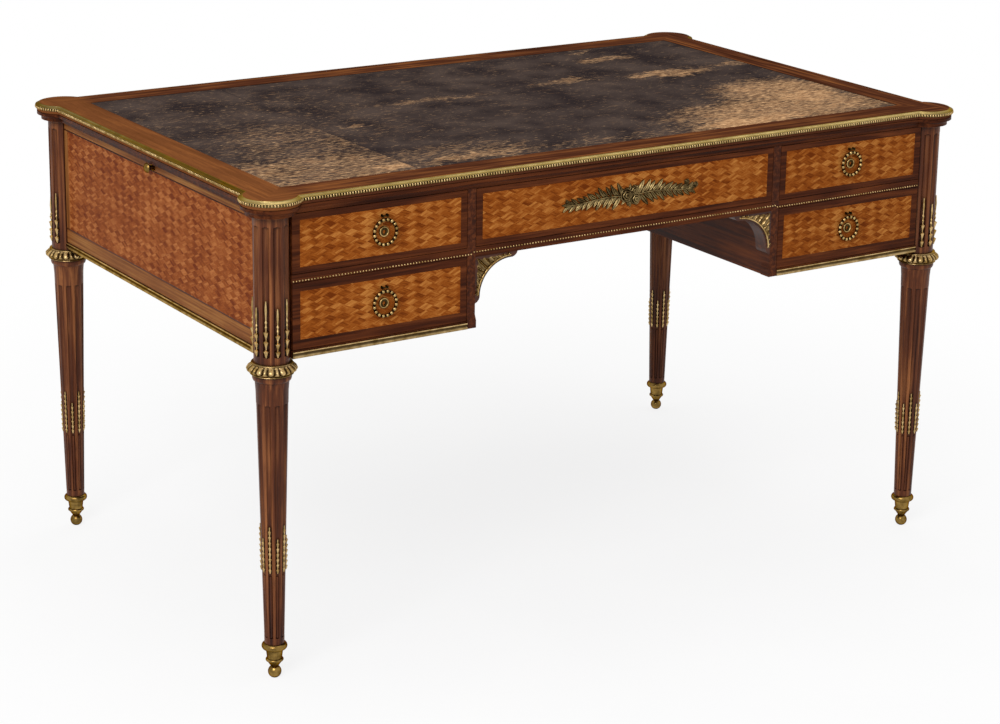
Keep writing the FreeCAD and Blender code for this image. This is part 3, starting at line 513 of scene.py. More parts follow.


# Lozenge parquetry in kingwood: each lozenge is laid in slats along one of its two sides, by turns;
# the lozenges whose slats run one way are painted lighter, a painted sheen, so that light and dark run on
# in soft zigzags; fine streaks along the slats, joints too fine to show.
@dataclass(frozen=True)
class LozengeParquetry(Finish):
    """Veneer of slatted lozenges, on a chart whose whole numbers are the two sets of lattice lines."""

    dark: str
    middle: str
    light: str
    slats: float = 3.0
    gloss: float = 0.02

    def dress(self, tree: bpy.types.NodeTree, shader: bpy.types.Node) -> None:
        """Adds the lozenges, their slats, the grain and a painted sheen on the lozenges whose slats run one
        way.

        Args:
            tree: The material's nodes.
            shader: Its surface shader.
        """
        chart = add(tree, "UVMap", {"uv_map": "chart"})
        sides = add(tree, "SeparateXYZ", {0: chart}).outputs
        column, row = (add(tree, "Math", {"operation": "FLOOR", 0: side}) for side in sides[:2])
        count = add(tree, "Math", {"operation": "ADD", 0: column, 1: row})
        turn = add(tree, "Math", {"operation": "FLOORED_MODULO", 0: count, 1: 2.0})
        across = add(tree, "Mix", {"data_type": "FLOAT", 0: turn, 2: sides[0], 3: sides[1]})
        along = add(tree, "Mix", {"data_type": "FLOAT", 0: turn, 2: sides[1], 3: sides[0]})
        spread = add(tree, "Math", {"operation": "MULTIPLY", 0: across, 1: self.slats})
        slat = add(tree, "Math", {"operation": "FLOOR", 0: spread})
        cell_chance, slat_chance = (
            add(tree, "TexWhiteNoise", {0: add(tree, "CombineXYZ", {0: column, 1: row, 2: layer})})
            for layer in (0.5, slat))
        shift = add(tree, "Math", {"operation": "MULTIPLY_ADD", 0: slat_chance, 1: 60.0, 2: along})
        fibre = add(tree, "Math", {"operation": "MULTIPLY", 0: spread, 1: 2.6})
        thread = add(tree, "CombineXYZ", {0: shift, 1: fibre, 2: turn})
        grain = add(tree, "TexNoise", {"Scale": 1.0, "Detail": 2.0, "Roughness": 0.55, "Vector": thread})
        cloud = add(tree, "TexNoise", {"Scale": 0.22, "Detail": 2.0, "Vector": chart})
        # painted sheen: turn lifts the tone of every lozenge whose slats run one way
        parts = ((turn, 0.2), (cell_chance, 0.14), (slat_chance, 0.32), (grain, 1.0), (cloud, 0.7))
        tone = -0.68
        for part, share in parts:
            tone = add(tree, "Math", {"operation": "MULTIPLY_ADD", 0: part, 1: share, 2: tone})
        colour = add(tree, "ValToRGB", {
            "stops": [(0.16, self.dark), (0.5, self.middle), (0.84, self.light)], 0: tone})
        sheen = add(tree, "MapRange", {"To Min": 0.32, "To Max": 0.48, 0: grain})
        bump = add(tree, "Bump", {"Strength": 0.1, "Distance": 0.0002, "Height": grain})
        feed(tree, shader, {"Base Color": colour, "Roughness": sheen, "Normal": bump,
                            "Specular IOR Level": self.gloss})


# Cast and chased bronze under old gilding: warm gold on the crests and at a glancing view, brown dirt
# in the recesses with painted shade wherever little sky is seen, cloudy patches where the gilding is thin.
# Casting pits are drawn coarser than they are.
@dataclass(frozen=True)
class CastMetal(Finish):
    """Gilt bronze, brass or iron with dirt and painted shade in its recesses, its pattern sizes in
    millimetres.
    """

    bright: str
    dull: str
    dirt_and_shade: str
    roughness: float = 0.32
    cloud: float = 14.0
    pit: float = 1.2

    def dress(self, tree: bpy.types.NodeTree, shader: bpy.types.Node) -> None:
        """Adds patina by noise, dirt and painted shade by the piece's own recess values, and painted shade
        where little sky is seen.

        Args:
            tree: The material's nodes.
            shader: Its surface shader.
        """
        where = add(tree, "TexCoord").outputs["Object"]
        patches = add(tree, "TexNoise", {"Scale": per_metre(self.cloud), "Detail": 4.0, "Roughness": 0.6,
                                         "Vector": where})
        pits = add(tree, "TexNoise", {"Scale": per_metre(self.pit), "Detail": 2.0, "Vector": where})
        skin = add(tree, "ValToRGB", {"stops": [(0.36, self.dull), (0.62, self.bright)], 0: patches})
        recess = add(tree, "Attribute", {"attribute_name": "hollow"}).outputs[2]
        # painted shade: the dirt colour is also laid wherever ambient occlusion sees little sky
        sky = add(tree, "AmbientOcclusion", {"samples": 8, "Distance": 0.004}).outputs["AO"]
        occluded_shade = add(tree, "MapRange", {"From Min": 0.35, "From Max": 0.8, "To Min": 0.9, "To Max": 0.0,
                                      0: sky})
        dirt_and_shade_share = add(tree, "Math", {"operation": "MAXIMUM", 0: recess, 1: occluded_shade})
        dirty_and_shaded = add(tree, "Mix", {"data_type": "RGBA", 0: dirt_and_shade_share, 6: skin, 7: linear(self.dirt_and_shade)}).outputs[2]
        gloss = add(tree, "MapRange", {"From Min": 0.3, "From Max": 0.7, "To Min": self.roughness + 0.14,
                                       "To Max": self.roughness - 0.06, 0: patches})
        bump = add(tree, "Bump", {"Strength": 0.15, "Distance": 0.0002, "Height": pits})
        feed(tree, shader, {"Base Color": dirty_and_shaded, "Roughness": gloss, "Normal": bump, "Metallic": 1.0,
                            "Specular Tint": linear(self.bright)})


@dataclass(frozen=True)
class WornPlace:
    """An oval of worn leather, in metres, from none (0) to bare (1)."""

    x: float
    y: float
    reach_x: float
    reach_y: float
    wear: float
    ends_at_seam: bool = False


# Old calf leather, dyed dark and waxed: matt, with a fine grain, rubbed through to the tan hide
# in short scratches along the table and in broad bare places where arms and papers lay.
# Real scratches are hairs and the grain is under a millimetre; both are drawn coarser so that they show.
@dataclass(frozen=True)
class WornLeather(Finish):
    """Dark hide with scratches and bare places, and a seam across it at its own x, in metres."""

    deep: str
    faded: str
    hide: str
    pale_hide: str
    seam: float
    places: tuple[WornPlace, ...]

    def dress(self, tree: bpy.types.NodeTree, shader: bpy.types.Node) -> None:
        """Adds dye, worn places, scratches, a seam and the grain.

        Args:
            tree: The material's nodes.
            shader: Its surface shader.
        """
        where = add(tree, "TexCoord").outputs["Object"]
        along = add(tree, "SeparateXYZ", {0: where})
        gap = add(tree, "Math", {"operation": "SUBTRACT", 0: along, 1: self.seam})
        left = add(tree, "Math", {"operation": "LESS_THAN", 0: gap, 1: 0.0})
        warp = add(tree, "TexNoise", {"Scale": per_metre(40.0), "Detail": 4.0, "Roughness": 0.65,
                                      "Vector": where})
        offset = add(tree, "VectorMath", {"operation": "MULTIPLY_ADD", 0: warp.outputs[1],
                                          1: (0.09, 0.09, 0.0), 2: (-0.045, -0.045, 0.0)})
        strayed = add(tree, "VectorMath", {"operation": "ADD", 0: where, 1: offset})
        wear = 0.0
        for place in self.places:
            local = add(tree, "Mapping", {"vector_type": "TEXTURE", "Location": (place.x, place.y, TOP * MM),
                                          "Scale": (place.reach_x, place.reach_y, 1.0), 0: strayed})
            far = add(tree, "VectorMath", {"operation": "LENGTH", 0: local}).outputs["Value"]
            spot = add(tree, "MapRange", {"interpolation_type": "SMOOTHSTEP", "From Min": 0.5,
                                          "From Max": 1.3, "To Min": place.wear, "To Max": 0.0, 0: far})
            if place.ends_at_seam:
                spot = add(tree, "Math", {"operation": "MULTIPLY", 0: spot, 1: left})
            wear = add(tree, "Math", {"operation": "MAXIMUM", 0: spot, 1: wear})
        long_marks = add(tree, "Mapping", {"Scale": (per_metre(26.0), per_metre(3.8), 1.0), 0: where})
        short_marks = add(tree, "Mapping", {"Scale": (per_metre(11.0), per_metre(3.4), 1.0),
                                            "Rotation": (0.0, 0.0, 0.1), 0: where})
        streaks = add(tree, "TexNoise", {"Scale": 1.0, "Detail": 3.0, "Roughness": 0.65,
                                         "Vector": long_marks})
        flecks = add(tree, "TexNoise", {"Scale": 1.0, "Detail": 3.0, "Roughness": 0.7, "Vector": short_marks})
        most = add(tree, "Math", {"operation": "MAXIMUM", 0: streaks, 1: flecks})
        marks = add(tree, "MapRange", {"From Min": 0.42, "From Max": 0.7, "To Max": 0.6, 0: most})
        rubbed = add(tree, "Math", {"operation": "MULTIPLY_ADD", 0: wear, 1: 0.5, 2: marks})
        bare = add(tree, "MapRange", {"From Min": 0.43, "From Max": 1.0, 0: rubbed})
        cloud = add(tree, "TexNoise", {"Scale": per_metre(85.0), "Detail": 3.0, "Vector": where})
        dye = add(tree, "ValToRGB", {"stops": [(0.35, self.deep), (0.68, self.faded)], 0: cloud})
        tan = add(tree, "ValToRGB", {"stops": [(0.35, self.hide), (0.7, self.pale_hide)], 0: flecks})
        coat = add(tree, "Mix", {"data_type": "RGBA", 0: bare, 6: dye, 7: tan}).outputs[2]
        width = add(tree, "Math", {"operation": "ABSOLUTE", 0: gap})
        line = add(tree, "MapRange", {"From Min": 0.0004, "From Max": 0.0016, "To Min": 0.8, "To Max": 0.0,
                                      0: width})
        sewn = add(tree, "Mix", {"data_type": "RGBA", 0: line, 6: coat, 7: linear(self.deep)}).outputs[2]
        pebble = add(tree, "TexVoronoi", {"Scale": per_metre(2.4), "Vector": where})
        bump = add(tree, "Bump", {"Strength": 0.2, "Distance": 0.0003, "Height": pebble})
        gloss = add(tree, "MapRange", {"To Min": 0.5, "To Max": 0.72, 0: bare})
        feed(tree, shader, {"Base Color": sewn, "Roughness": gloss, "Normal": bump,
                            "Specular IOR Level": 0.0})


# Painted studio floor: even, matt and nearly white; away from the table it passes into the white backdrop.
@dataclass(frozen=True)
class StudioFloor(Finish):
    """Pale floor that keeps the table's shadow near the table."""

    paint: str

    def dress(self, tree: bpy.types.NodeTree, shader: bpy.types.Node) -> None:
        """Adds faint unevenness and the fade into white.

        Args:
            tree: The material's nodes.
            shader: Its surface shader.
        """
        where = add(tree, "TexCoord").outputs["Object"]
        uneven = add(tree, "TexNoise", {"Scale": per_metre(400.0), "Detail": 3.0, "Vector": where})
        colour = add(tree, "ValToRGB", {"stops": [(0.3, self.paint), (0.7, WHITE)], 0: uneven})
        far = add(tree, "VectorMath", {"operation": "LENGTH", 0: where}).outputs["Value"]
        fade = add(tree, "MapRange", {"interpolation_type": "SMOOTHSTEP", "From Min": 0.3, "From Max": 1.9,
                                      "To Min": 0.8, "To Max": 1.0, 0: far})
        share = add(tree, "Math", {"operation": "MULTIPLY", 0: fade, 1: shown(tree)})
        white = add(tree, "Emission", {"Color": linear(WHITE), "Strength": 1.0})
        both = add(tree, "MixShader", {0: share, 1: shader, 2: white})
        feed(tree, shader, {"Base Color": colour, "Roughness": 0.9, "Specular IOR Level": 0.1})
        feed(tree, tree.nodes["Material Output"], {"Surface": both})


MAHOGANY = {grain: PolishedWood("polished_mahogany_" + grain.name.lower(), grain, "#200d06", "#441e0c",
                                "#6c381a", gloss=gloss) for grain, gloss in ((Grain.X, 0.06), (Grain.Y, 0.1))}
# The turned legs carry painted shade in their flutes and hollows.
LEG_WOOD = PolishedWood("turned_mahogany", Grain.Z, "#260f08", "#5c2f18", "#9a6036", gloss=0.16, painted_hollow_shade=0.85)
# The top's border carries painted light on its left end.
TOP_WOOD = PolishedWood("polished_mahogany_border", Grain.CHART, "#341a0d", "#583120", "#965c30", figure=9.0,
                        gloss=0.0, painted_light_end=0.45)
BRACKET_WOOD = PolishedWood("shaped_mahogany", Grain.X, "#200d06", "#3c1a0c", "#5a2e16", gloss=0.3)
BAND_WOOD = PolishedWood("polished_tulipwood_band", Grain.CHART, "#5e3416", "#845028", "#a8763f", figure=4.0,
                         gloss=0.03)
OAK = PolishedWood("planed_oak_y", Grain.Y, "#6b4a26", "#96703f", "#b8915a", figure=5.0, roughness=0.6)
FRONT_LATTICE = LozengeParquetry("kingwood_parquetry_front", "#6a2f0a", "#924d18", "#ba7838")
END_LATTICE = LozengeParquetry("kingwood_parquetry_end", "#662809", "#8c481c", "#b06c3a")
GILT = CastMetal("chased_gilt_bronze", "#bd9f68", "#7c6238", "#1c1209", roughness=0.28)
PALE_GILT = CastMetal("burnished_gilt_bronze", "#d2b37e", "#9a7d4a", "#28190b", roughness=0.3)
DARK_GILT = CastMetal("toned_gilt_bronze", "#9a8458", "#5c4a2e", "#171009", roughness=0.34)
BRASS = CastMetal("old_brass", "#967840", "#654f28", "#2a1d0d", roughness=0.22)
BAND_BRASS = CastMetal("rubbed_brass_band", "#b09a66", "#907c4c", "#2e2411", cloud=40.0)
# Painted shade: near-black gilt for the keyhole plate, standing for the dark keyhole opening.
KEYHOLE_SHADE_GILT = CastMetal("shade_dark_gilt_bronze", "#4a3d22", "#2c2313", "#120d07", roughness=0.4)
IRON = CastMetal("blackened_iron", "#5a5753", "#3a3835", "#1e1c1a", roughness=0.5)
LEATHER = WornLeather("worn_calf_leather", "#322a2a", "#52453f", "#a8774f", "#eabd8c", seam=-0.362, places=(
    WornPlace(0.42, -0.27, 0.25, 0.11, 0.95),
    WornPlace(0.51, -0.14, 0.14, 0.10, 0.95),
    WornPlace(0.31, -0.32, 0.15, 0.035, 1.3),
    WornPlace(0.52, -0.20, 0.08, 0.06, 1.25),
    WornPlace(0.42, 0.077, 0.10, 0.03, 0.85),
    WornPlace(0.40, 0.24, 0.07, 0.02, 0.65),
    WornPlace(0.38, 0.322, 0.03, 0.012, 0.6),
    WornPlace(0.21, 0.106, 0.08, 0.02, 0.55),
    WornPlace(0.58, 0.093, 0.04, 0.014, 0.6),
    WornPlace(-0.50, -0.28, 0.22, 0.12, 0.68, ends_at_seam=True),
    WornPlace(-0.39, -0.305, 0.04, 0.022, 1.2, ends_at_seam=True),
    WornPlace(-0.43, -0.12, 0.16, 0.18, 0.42, ends_at_seam=True),
    WornPlace(-0.25, -0.28, 0.16, 0.07, 0.42),
    WornPlace(-0.24, -0.305, 0.10, 0.022, 0.8),
    WornPlace(0.0, -0.32, 0.35, 0.03, 0.3),
    WornPlace(-0.085, 0.084, 0.12, 0.018, 0.5),
    WornPlace(-0.30, -0.032, 0.03, 0.012, 0.7),
    WornPlace(-0.40, 0.06, 0.26, 0.30, 0.12),
))
FLOOR = StudioFloor("matt_floor_paint", "#f4f4f5")


def make_piece(name: str, patch: Patch, body: str, finish: Finish, stands_for: Sequence[str] = (),
               bevel: float = 0.0, sharp: float = 38.0) -> None:
    """Makes an object of a surface, dresses it and fixes it to a body.

    Args:
        name: Of the piece.
        patch: Its surface.
        body: The body that carries it.
        finish: Its material.
        stands_for: Solids that it replaces.
        bevel: Width of its rounded edges, in millimetres.
        sharp: Edges that bend more than this many degrees stay crisp.
    """
    mesh = bpy.data.meshes.new(name)
    mesh.from_pydata((patch.points * MM).tolist(), [], patch.quads.tolist() + patch.tris.tolist())
    corners = np.empty(len(mesh.loops), np.int32)
    mesh.loops.foreach_get("vertex_index", corners)
    mesh.uv_layers.new(name="chart").data.foreach_set("uv", patch.chart[corners].astype(np.float32).ravel())
    mesh.attributes.new("hollow", "FLOAT", "POINT").data.foreach_set("value", patch.hollow.astype(np.float32))
    shell = bmesh.new()
    shell.from_mesh(mesh)
    bmesh.ops.remove_doubles(shell, verts=shell.verts, dist=1e-6)
    shell.to_mesh(mesh)
    shell.free()
    mesh.polygons.foreach_set("use_smooth", np.ones(len(mesh.polygons), bool))
    mesh.set_sharp_from_angle(angle=math.radians(sharp))
    mesh.materials.append(finish.material())
    item = bpy.data.objects.new(name, mesh)
    bpy.context.scene.collection.objects.link(item)
    if bevel:
        edge = item.modifiers.new("rounded_edges", "BEVEL")
        edge.width = bevel * MM
        edge.segments = 2
        edge.limit_method = "ANGLE"
    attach(item, body)
    if stands_for:
        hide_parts(*stands_for)
    LOG.info("%s: %d faces on %s", name, len(mesh.polygons), body)


def dress_solids(finish: Finish, *nodes: str) -> None:
    """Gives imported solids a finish.

    Args:
        finish: The material.
        nodes: Names of the solids.
    """
    for node in nodes:
        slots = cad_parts[node].data.materials
        slots.clear()
        slots.append(finish.material())
        LOG.info("%s: dressed in %s", node, finish.name)


# Sub-assemblies

@dataclass(frozen=True)
class TableTop:
    """Board with a lobe over each leg, its brass rim, bead row and leather."""

    overhang: float = 29.0
    lobe: float = 48.0
    thickness: float = 14.0
    rim_width: float = 7.0
    end_shade: float = 0.5
    end_shade_start: float = 10.0
    end_shade_growth: float = 14.0
    end_shade_run: float = 34.0
    leather_margin: float = 34.0
    leather_gap: float = 0.8
    leather_foot: float = 2.0
    leather_sunk: float = 0.1
    bed_gap: float = 0.1
    bed_lift: float = 1.0
    bead_inset: float = 0.7
    bead_drop: float = 6.0
    bead_radius: float = 2.4
    bead_pitch: float = 4.7
    steps: int = 40

    def loops(self, inset: Sequence[float]) -> np.ndarray:
        """Outlines of the top, each set in by its own amount.

        A lobe is an arc of radius R about the leg's axis, from where it meets one straight edge to where
        it meets the next: angles from f - 180 to 90 - f degrees, with sin f = (overhang - i) / (R - i).

        Args:
            inset: One value for each outline.

        Returns:
            Outlines by points by 2, anticlockwise from the front right lobe.
        """
        inset = np.asarray(inset, float)[:, None, None]
        reach = self.lobe - inset
        meet = np.arcsin((self.overhang - inset) / reach)
        share = np.linspace(0.0, 1.0, self.steps)[None, None, :]
        quarter = np.arange(4)[None, :, None] * (np.pi / 2)
        angle = quarter + (meet - np.pi) * (1 - share) + (np.pi / 2 - meet) * share
        centre = (CORNERS * (HALF_X, HALF_Y))[None, :, None, :]
        points = centre + reach[..., None] * np.stack([np.cos(angle), np.sin(angle)], -1)
        return points.reshape(len(inset), -1, 2)

    def moulding(self, profile: Sequence[tuple[float, float, float]]) -> Patch:
        """A closed profile carried round the outline.

        Args:
            profile: How far in each point lies, its height over the top's face and its recess value.

        Returns:
            The ring-shaped surface.
        """
        inset, level, recess = np.array([*profile, profile[0]]).T
        outline = self.loops(inset)
        rise = np.broadcast_to(TOP + level[:, None, None], (*outline.shape[:2], 1))
        return net(np.concatenate([outline, rise], -1), wrap=True,
                   hollow=np.broadcast_to(recess[:, None], outline.shape[:2]))

    def border(self) -> Patch:
        """The flat frame between the rim and the leather, four mitred sides with their grain lengthwise.

        Each side is a fan of faces from the leather's two corners to the points of the outline between
        the middles of two lobes.

        Returns:
            The frame, facing up.
        """
        middle = self.steps // 2
        loop = np.roll(self.loops([self.rim_width])[0], -middle, 0).reshape(4, self.steps, 2)
        corner = CORNERS * (np.array([HALF_X, HALF_Y]) - self.leather_margin)
        sides = []
        for side in range(4):
            following = (side + 1) % 4
            outer = np.vstack([loop[side], loop[following][:1]])
            inner = np.where(np.arange(len(outer))[:, None] < middle, corner[side], corner[following])
            flat = np.stack([outer, inner], 0)
            lengthwise = flat[..., ::-1] if side % 2 == 0 else flat
            sides.append(net(np.dstack([flat, np.full(flat.shape[:2], TOP)]), chart=lengthwise * MM))
        return joined(*sides)

    def rim(self) -> Patch:
        """The brass rim: a bead's bed, a quirk and a slope, with painted shade along the ends.

        That painted shade grows from none at the middle of a front lobe to its full share near that lobe's
        end.

        Returns:
            The moulding.
        """
        wide = self.rim_width
        clean = self.moulding([
            (wide, 0.05, 0), (wide, -2.5, 0), (4.0, -5.5, 0), (2.4, -8.5, 0.7), (1.4, -8.5, 0.7),
            (1.2, -8.0, 0.7), (1.2, -4.2, 0.7), (0.9, -3.8, 0.7), (0.1, -3.6, 0.1), (0.0, -3.2, 0),
            (0.25, -2.8, 0.1), (0.8, -2.55, 0.45), (2.0, -2.15, 0.1), (5.0, -1.0, 0), (wide - 1.6, -0.1, 0)])
        # painted shade: darkens the rim along both ends, away from the front
        out, back = np.abs(clean.points[:, 0]) - HALF_X, clean.points[:, 1] + HALF_Y
        at_end = np.clip((out - self.end_shade_start) / self.end_shade_growth, 0, 1)
        soil = self.end_shade * at_end * np.clip(back / self.end_shade_run, 0, 1)
        return replace(clean, hollow=np.maximum(clean.hollow, soil))

    def beads(self) -> Patch:
        """Tall balls at even steps along the outline, which is measured by its summed lengths.

        Returns:
            All the balls.
        """
        loop = self.loops([self.bead_inset])[0]
        loop = np.vstack([loop, loop[:1]])
        run = np.append(0.0, np.cumsum(np.linalg.norm(np.diff(loop, axis=0), axis=1)))
        spots = np.linspace(0.0, run[-1], int(run[-1] / self.bead_pitch), endpoint=False)
        places = np.stack([np.interp(spots, run, loop[:, 0]), np.interp(spots, run, loop[:, 1]),
                           np.full(len(spots), TOP - self.bead_drop)], 1)
        return copies(bead(self.bead_radius), places, np.diag([0.64, 0.64, 1.04]))

    def build(self) -> None:
        """Makes the board, the rim, the bead row and the leather, and dresses the cornice."""
        low = -self.thickness
        edge = self.moulding([(12.0, -2.0, 0), (12.0, low, 0), (5.5, low, 0), (3.4, low + 0.6, 0),
                              (2.4, low + 2.0, 0), (2.0, low + 4.0, 0), (2.0, -7.0, 0)])
        half = np.array([HALF_X, HALF_Y]) - self.leather_margin
        bed = slab((*-half, TOP + low + self.bed_lift), (*half, TOP - self.leather_foot - self.bed_gap))
        board = joined(edge, self.border(), bed)
        make_piece("top_board_wood", board, "carcass", TOP_WOOD, ["top_board"])
        make_piece("brass_rim", self.rim(), "carcass", BAND_BRASS, ["top_rim"], sharp=50)
        make_piece("rim_beads", self.beads(), "carcass", PALE_GILT, sharp=180)
        half = half - self.leather_gap
        hide = slab((*-half, TOP - self.leather_foot), (*half, TOP - self.leather_sunk))
        make_piece("leather_skin", hide, "carcass", LEATHER, ["writing_leather"], bevel=0.8)
        dress_solids(MAHOGANY[Grain.X], "cornice")


@dataclass(frozen=True)
class Legs:
    """Turned legs with their leaf collars, neck rings, husk drops and toe caps."""

    collar_foot: float = 494.0
    tongues: int = 12
    sector: int = 16
    tongue_foot: float = 3.4
    tongue_height: float = 13.6
    groove_depth: float = 3.0
    groove_width: float = 0.22

    def collar(self) -> Patch:
        """A swelling ring carved into round-ended tongues with a dart between neighbours.

        Within a sector c goes from 0 on the tongue's middle to 1 on the dart. The groove follows
        c = 0.6 down the sides and closes in a half oval under the tongue; the radius is the ring's
        profile less the groove's depth.

        Returns:
            One collar round the Z axis.
        """
        level = np.array([0.0, 0.5, 1.4, 2.3, 2.9, 3.4, 4.2, 5.2, 6.2, 7.2, 8.2,
                          9.4, 10.8, 12.2, 13.6, 14.8, 16.0, 17.0, 17.6, 18.4, 19.4, 20.0])
        reach = np.array([29.0, 32.0, 33.2, 32.8, 31.8, 32.8, 34.8, 36.4, 37.4, 38.2, 38.7,
                          38.9, 38.5, 37.5, 36.0, 34.4, 32.6, 31.4, 31.0, 31.8, 31.4, 29.0])
        share = np.clip((level - self.tongue_foot) / self.tongue_height, 0, 1)[:, None]
        inside = ((level > 3.0) & (level < 17.2))[:, None]
        sides = self.tongues * self.sector
        place = np.arange(sides) % self.sector / self.sector
        c = np.abs(2 * np.abs(place - 0.5) - 1)[None, :]
        path = 0.6 * np.sqrt(np.clip(1 - (np.clip(0.5 - share, 0, None) / 0.42) ** 2, 0, 1))
        groove = inside * (share > 0.06) * np.exp(-((c - path) / self.groove_width) ** 2)
        under = inside * (share <= 0.14) * 0.7 * np.clip(1.4 - c, 0, 1)
        cut = np.clip(groove + under, 0, 1) * np.clip(share * 9, 0.25, 1) * np.clip((1 - share) * 9, 0.25, 1)
        soil = np.clip(1.4 * cut + 0.5 * ((level < 3) | (level > 16.5))[:, None], 0, 1)
        return turned(reach[:, None] - self.groove_depth * cut, level + self.collar_foot, sides, soil)

    def neck(self) -> Patch:
        """A rounded ring of wood close under the collar: a closed profile carried round the Z axis.

        Returns:
            One ring.
        """
        reach = np.array([25.6, 27.2, 28.9, 29.9, 30.1, 29.4, 25.6, 25.6])
        drop = np.array([10.6, 9.8, 8.4, 6.0, 3.0, 0.0, 0.0, 10.6])
        return turned(reach, self.collar_foot - drop, sides=48, ring=True)

    def build(self) -> None:
        """Makes the collars and necks and dresses the legs, caps and drops."""
        collars, necks = (copies(shape, LEG_PLACES) for shape in (self.collar(), self.neck()))
        make_piece("leg_collar_leaves", collars, "carcass", PALE_GILT, ["leg_collars"],
                   sharp=60)
        make_piece("leg_neck_rings", necks, "carcass", LEG_WOOD, sharp=60)
        dress_solids(LEG_WOOD, *("leg_" + name for name in LEG_NAMES))
        dress_solids(BRASS, *("toe_cap_" + name for name in LEG_NAMES))
        dress_solids(PALE_GILT, "column_husks", "leg_husks")


def inlay(face: Face, depth: float, across: Span, up: Span, lozenge: Optional[Span] = None) -> Patch:
    """A veneer plate let into a face of the case, a quarter of a millimetre proud.

    With a lozenge given, the chart holds u / wide + v / tall and u / wide - v / tall from the plate's
    middle, whose whole numbers are the two sets of lattice lines.

    Args:
        face: The side of the case.
        depth: Distance of that side from the table's middle.
        across: Where the plate starts and ends along the face.
        up: Its lowest and highest level.
        lozenge: Width and height of a lozenge.

    Returns:
        The plate in the table's axes.
    """
    let_in, proud = 0.3, 0.25
    plate = slab((across[0], up[0], depth - let_in), (across[1], up[1], depth + proud))
    if lozenge:
        u = (plate.points[:, 0] - sum(across) / 2) / lozenge[0]
        v = (plate.points[:, 1] - sum(up) / 2) / lozenge[1]
        plate = replace(plate, chart=np.stack([u + v, u - v], 1))
    return face.stand(plate)


@dataclass(frozen=True)
class CaseWork:
    """Fixed case: ends, walls, floors, dividers, back panels, strips and bead rows."""

    end_field: Span = (-338.0, 338.0)
    end_levels: Span = (554.5, 726.0)
    band_levels: Span = (529.5, 552.0)
    band_end: float = 351.0
    band_joint: float = 0.6
    rail_level: float = 640.5
    rail_step: float = 3.0
    rail_joint: float = 299.0
    bead_radius: float = 1.45
    bead_pitch: float = 5.2
    bead_sunk: float = 0.1

    def rows(self) -> Patch:
        """Balls at even steps along the rails of the front and the back, lower beside the kneehole.

        Returns:
            All the balls.
        """
        spots = np.arange(-SEAT_X + self.bead_pitch / 2, SEAT_X, self.bead_pitch)
        level = self.rail_level - self.rail_step * (np.abs(spots) > self.rail_joint)
        row = np.stack([spots, np.full_like(spots, self.bead_sunk - FRONT_FACE), level], 1)
        return copies(bead(self.bead_radius), np.vstack([row, row * (1, -1, 1)]))

    def strip(self, face: Face, depth: float, along: Span) -> Patch:
        """A strip along the foot of a face: a narrow fillet, a broad dark quirk and a flat lip.

        Args:
            face: The side of the case.
            depth: Distance of that side from the table's middle.
            along: Where the strip starts and ends along the face.

        Returns:
            The closed strip in the table's axes.
        """
        out, level, recess = np.array([
            (0.0, 528.0, 0.4), (1.0, 528.0, 0.3), (2.6, 527.7, 0), (3.0, 527.0, 0), (2.9, 526.2, 0.1),
            (2.2, 525.6, 0.7), (1.6, 525.0, 0.9), (1.5, 522.6, 0.9), (1.9, 521.8, 0.7), (2.8, 521.3, 0.4),
            (3.0, 520.6, 0.3), (3.0, 518.4, 0.3), (2.6, 518.0, 0.3), (0.0, 518.0, 0.6)]).T
        profile = np.dstack(np.broadcast_arrays(np.array(along)[:, None], level, depth + out))
        soil = np.broadcast_to(recess, profile.shape[:2])
        return face.stand(net(profile, wrap=True, capped=True, hollow=soil))

    def strips(self) -> Patch:
        """The strips of both pedestals, front, back and end.

        Returns:
            All the strips.
        """
        pedestals = ((-SEAT_X, -KNEE_OUT), (KNEE_OUT, SEAT_X))
        runs = [(face, FRONT_FACE, along) for face in (Face.FRONT, Face.BACK) for along in pedestals]
        runs += [(face, END_FACE, (-SEAT_Y, SEAT_Y)) for face in END_FACES.values()]
        return joined(*(self.strip(*run) for run in runs))

    def bands(self, face: Face) -> Patch:
        """The plain bands of an end: one under the field with its grain level, one upright at each side.

        Args:
            face: The end.

        Returns:
            Three plates.
        """
        stop = self.band_end
        under = inlay(face, END_FACE, (-stop, stop), self.band_levels)
        sides = ((-stop, self.end_field[0] - self.band_joint), (self.end_field[1] + self.band_joint, stop))
        upright = joined(*(inlay(face, END_FACE, across, self.end_levels) for across in sides))
        return joined(under, replace(upright, chart=upright.chart[:, ::-1]))

    def build(self, fields: Sequence[tuple[Span, Span]]) -> None:
        """Makes the veneers and bead rows and dresses the case.

        Args:
            fields: Where the drawers' fields lie, repeated on the back.
        """
        for word, face in END_FACES.items():
            field = inlay(face, END_FACE, self.end_field, self.end_levels, LOZENGE)
            make_piece("end_field_" + word, field, "carcass", END_LATTICE)
            make_piece("end_bands_" + word, self.bands(face), "carcass", BAND_WOOD)
            dress_solids(MAHOGANY[Grain.Y], "end_panel_" + word, "knee_wall_" + word)
            dress_solids(MAHOGANY[Grain.X], "divider_" + word, "pedestal_floor_" + word)
            dress_solids(BRACKET_WOOD, "knee_bracket_" + word)
        back = joined(*(inlay(Face.BACK, FRONT_FACE, across, up, LOZENGE) for across, up in fields))
        make_piece("back_fields", back, "carcass", FRONT_LATTICE)
        make_piece("rail_beads", self.rows(), "carcass", PALE_GILT, ["bead_strips"], sharp=180)
        make_piece("foot_strips", self.strips(), "carcass", PALE_GILT, ["base_strips"],
                   sharp=50)
        dress_solids(MAHOGANY[Grain.X], "divider_centre", "back_panels")
        dress_solids(OAK, "slide_bearers")


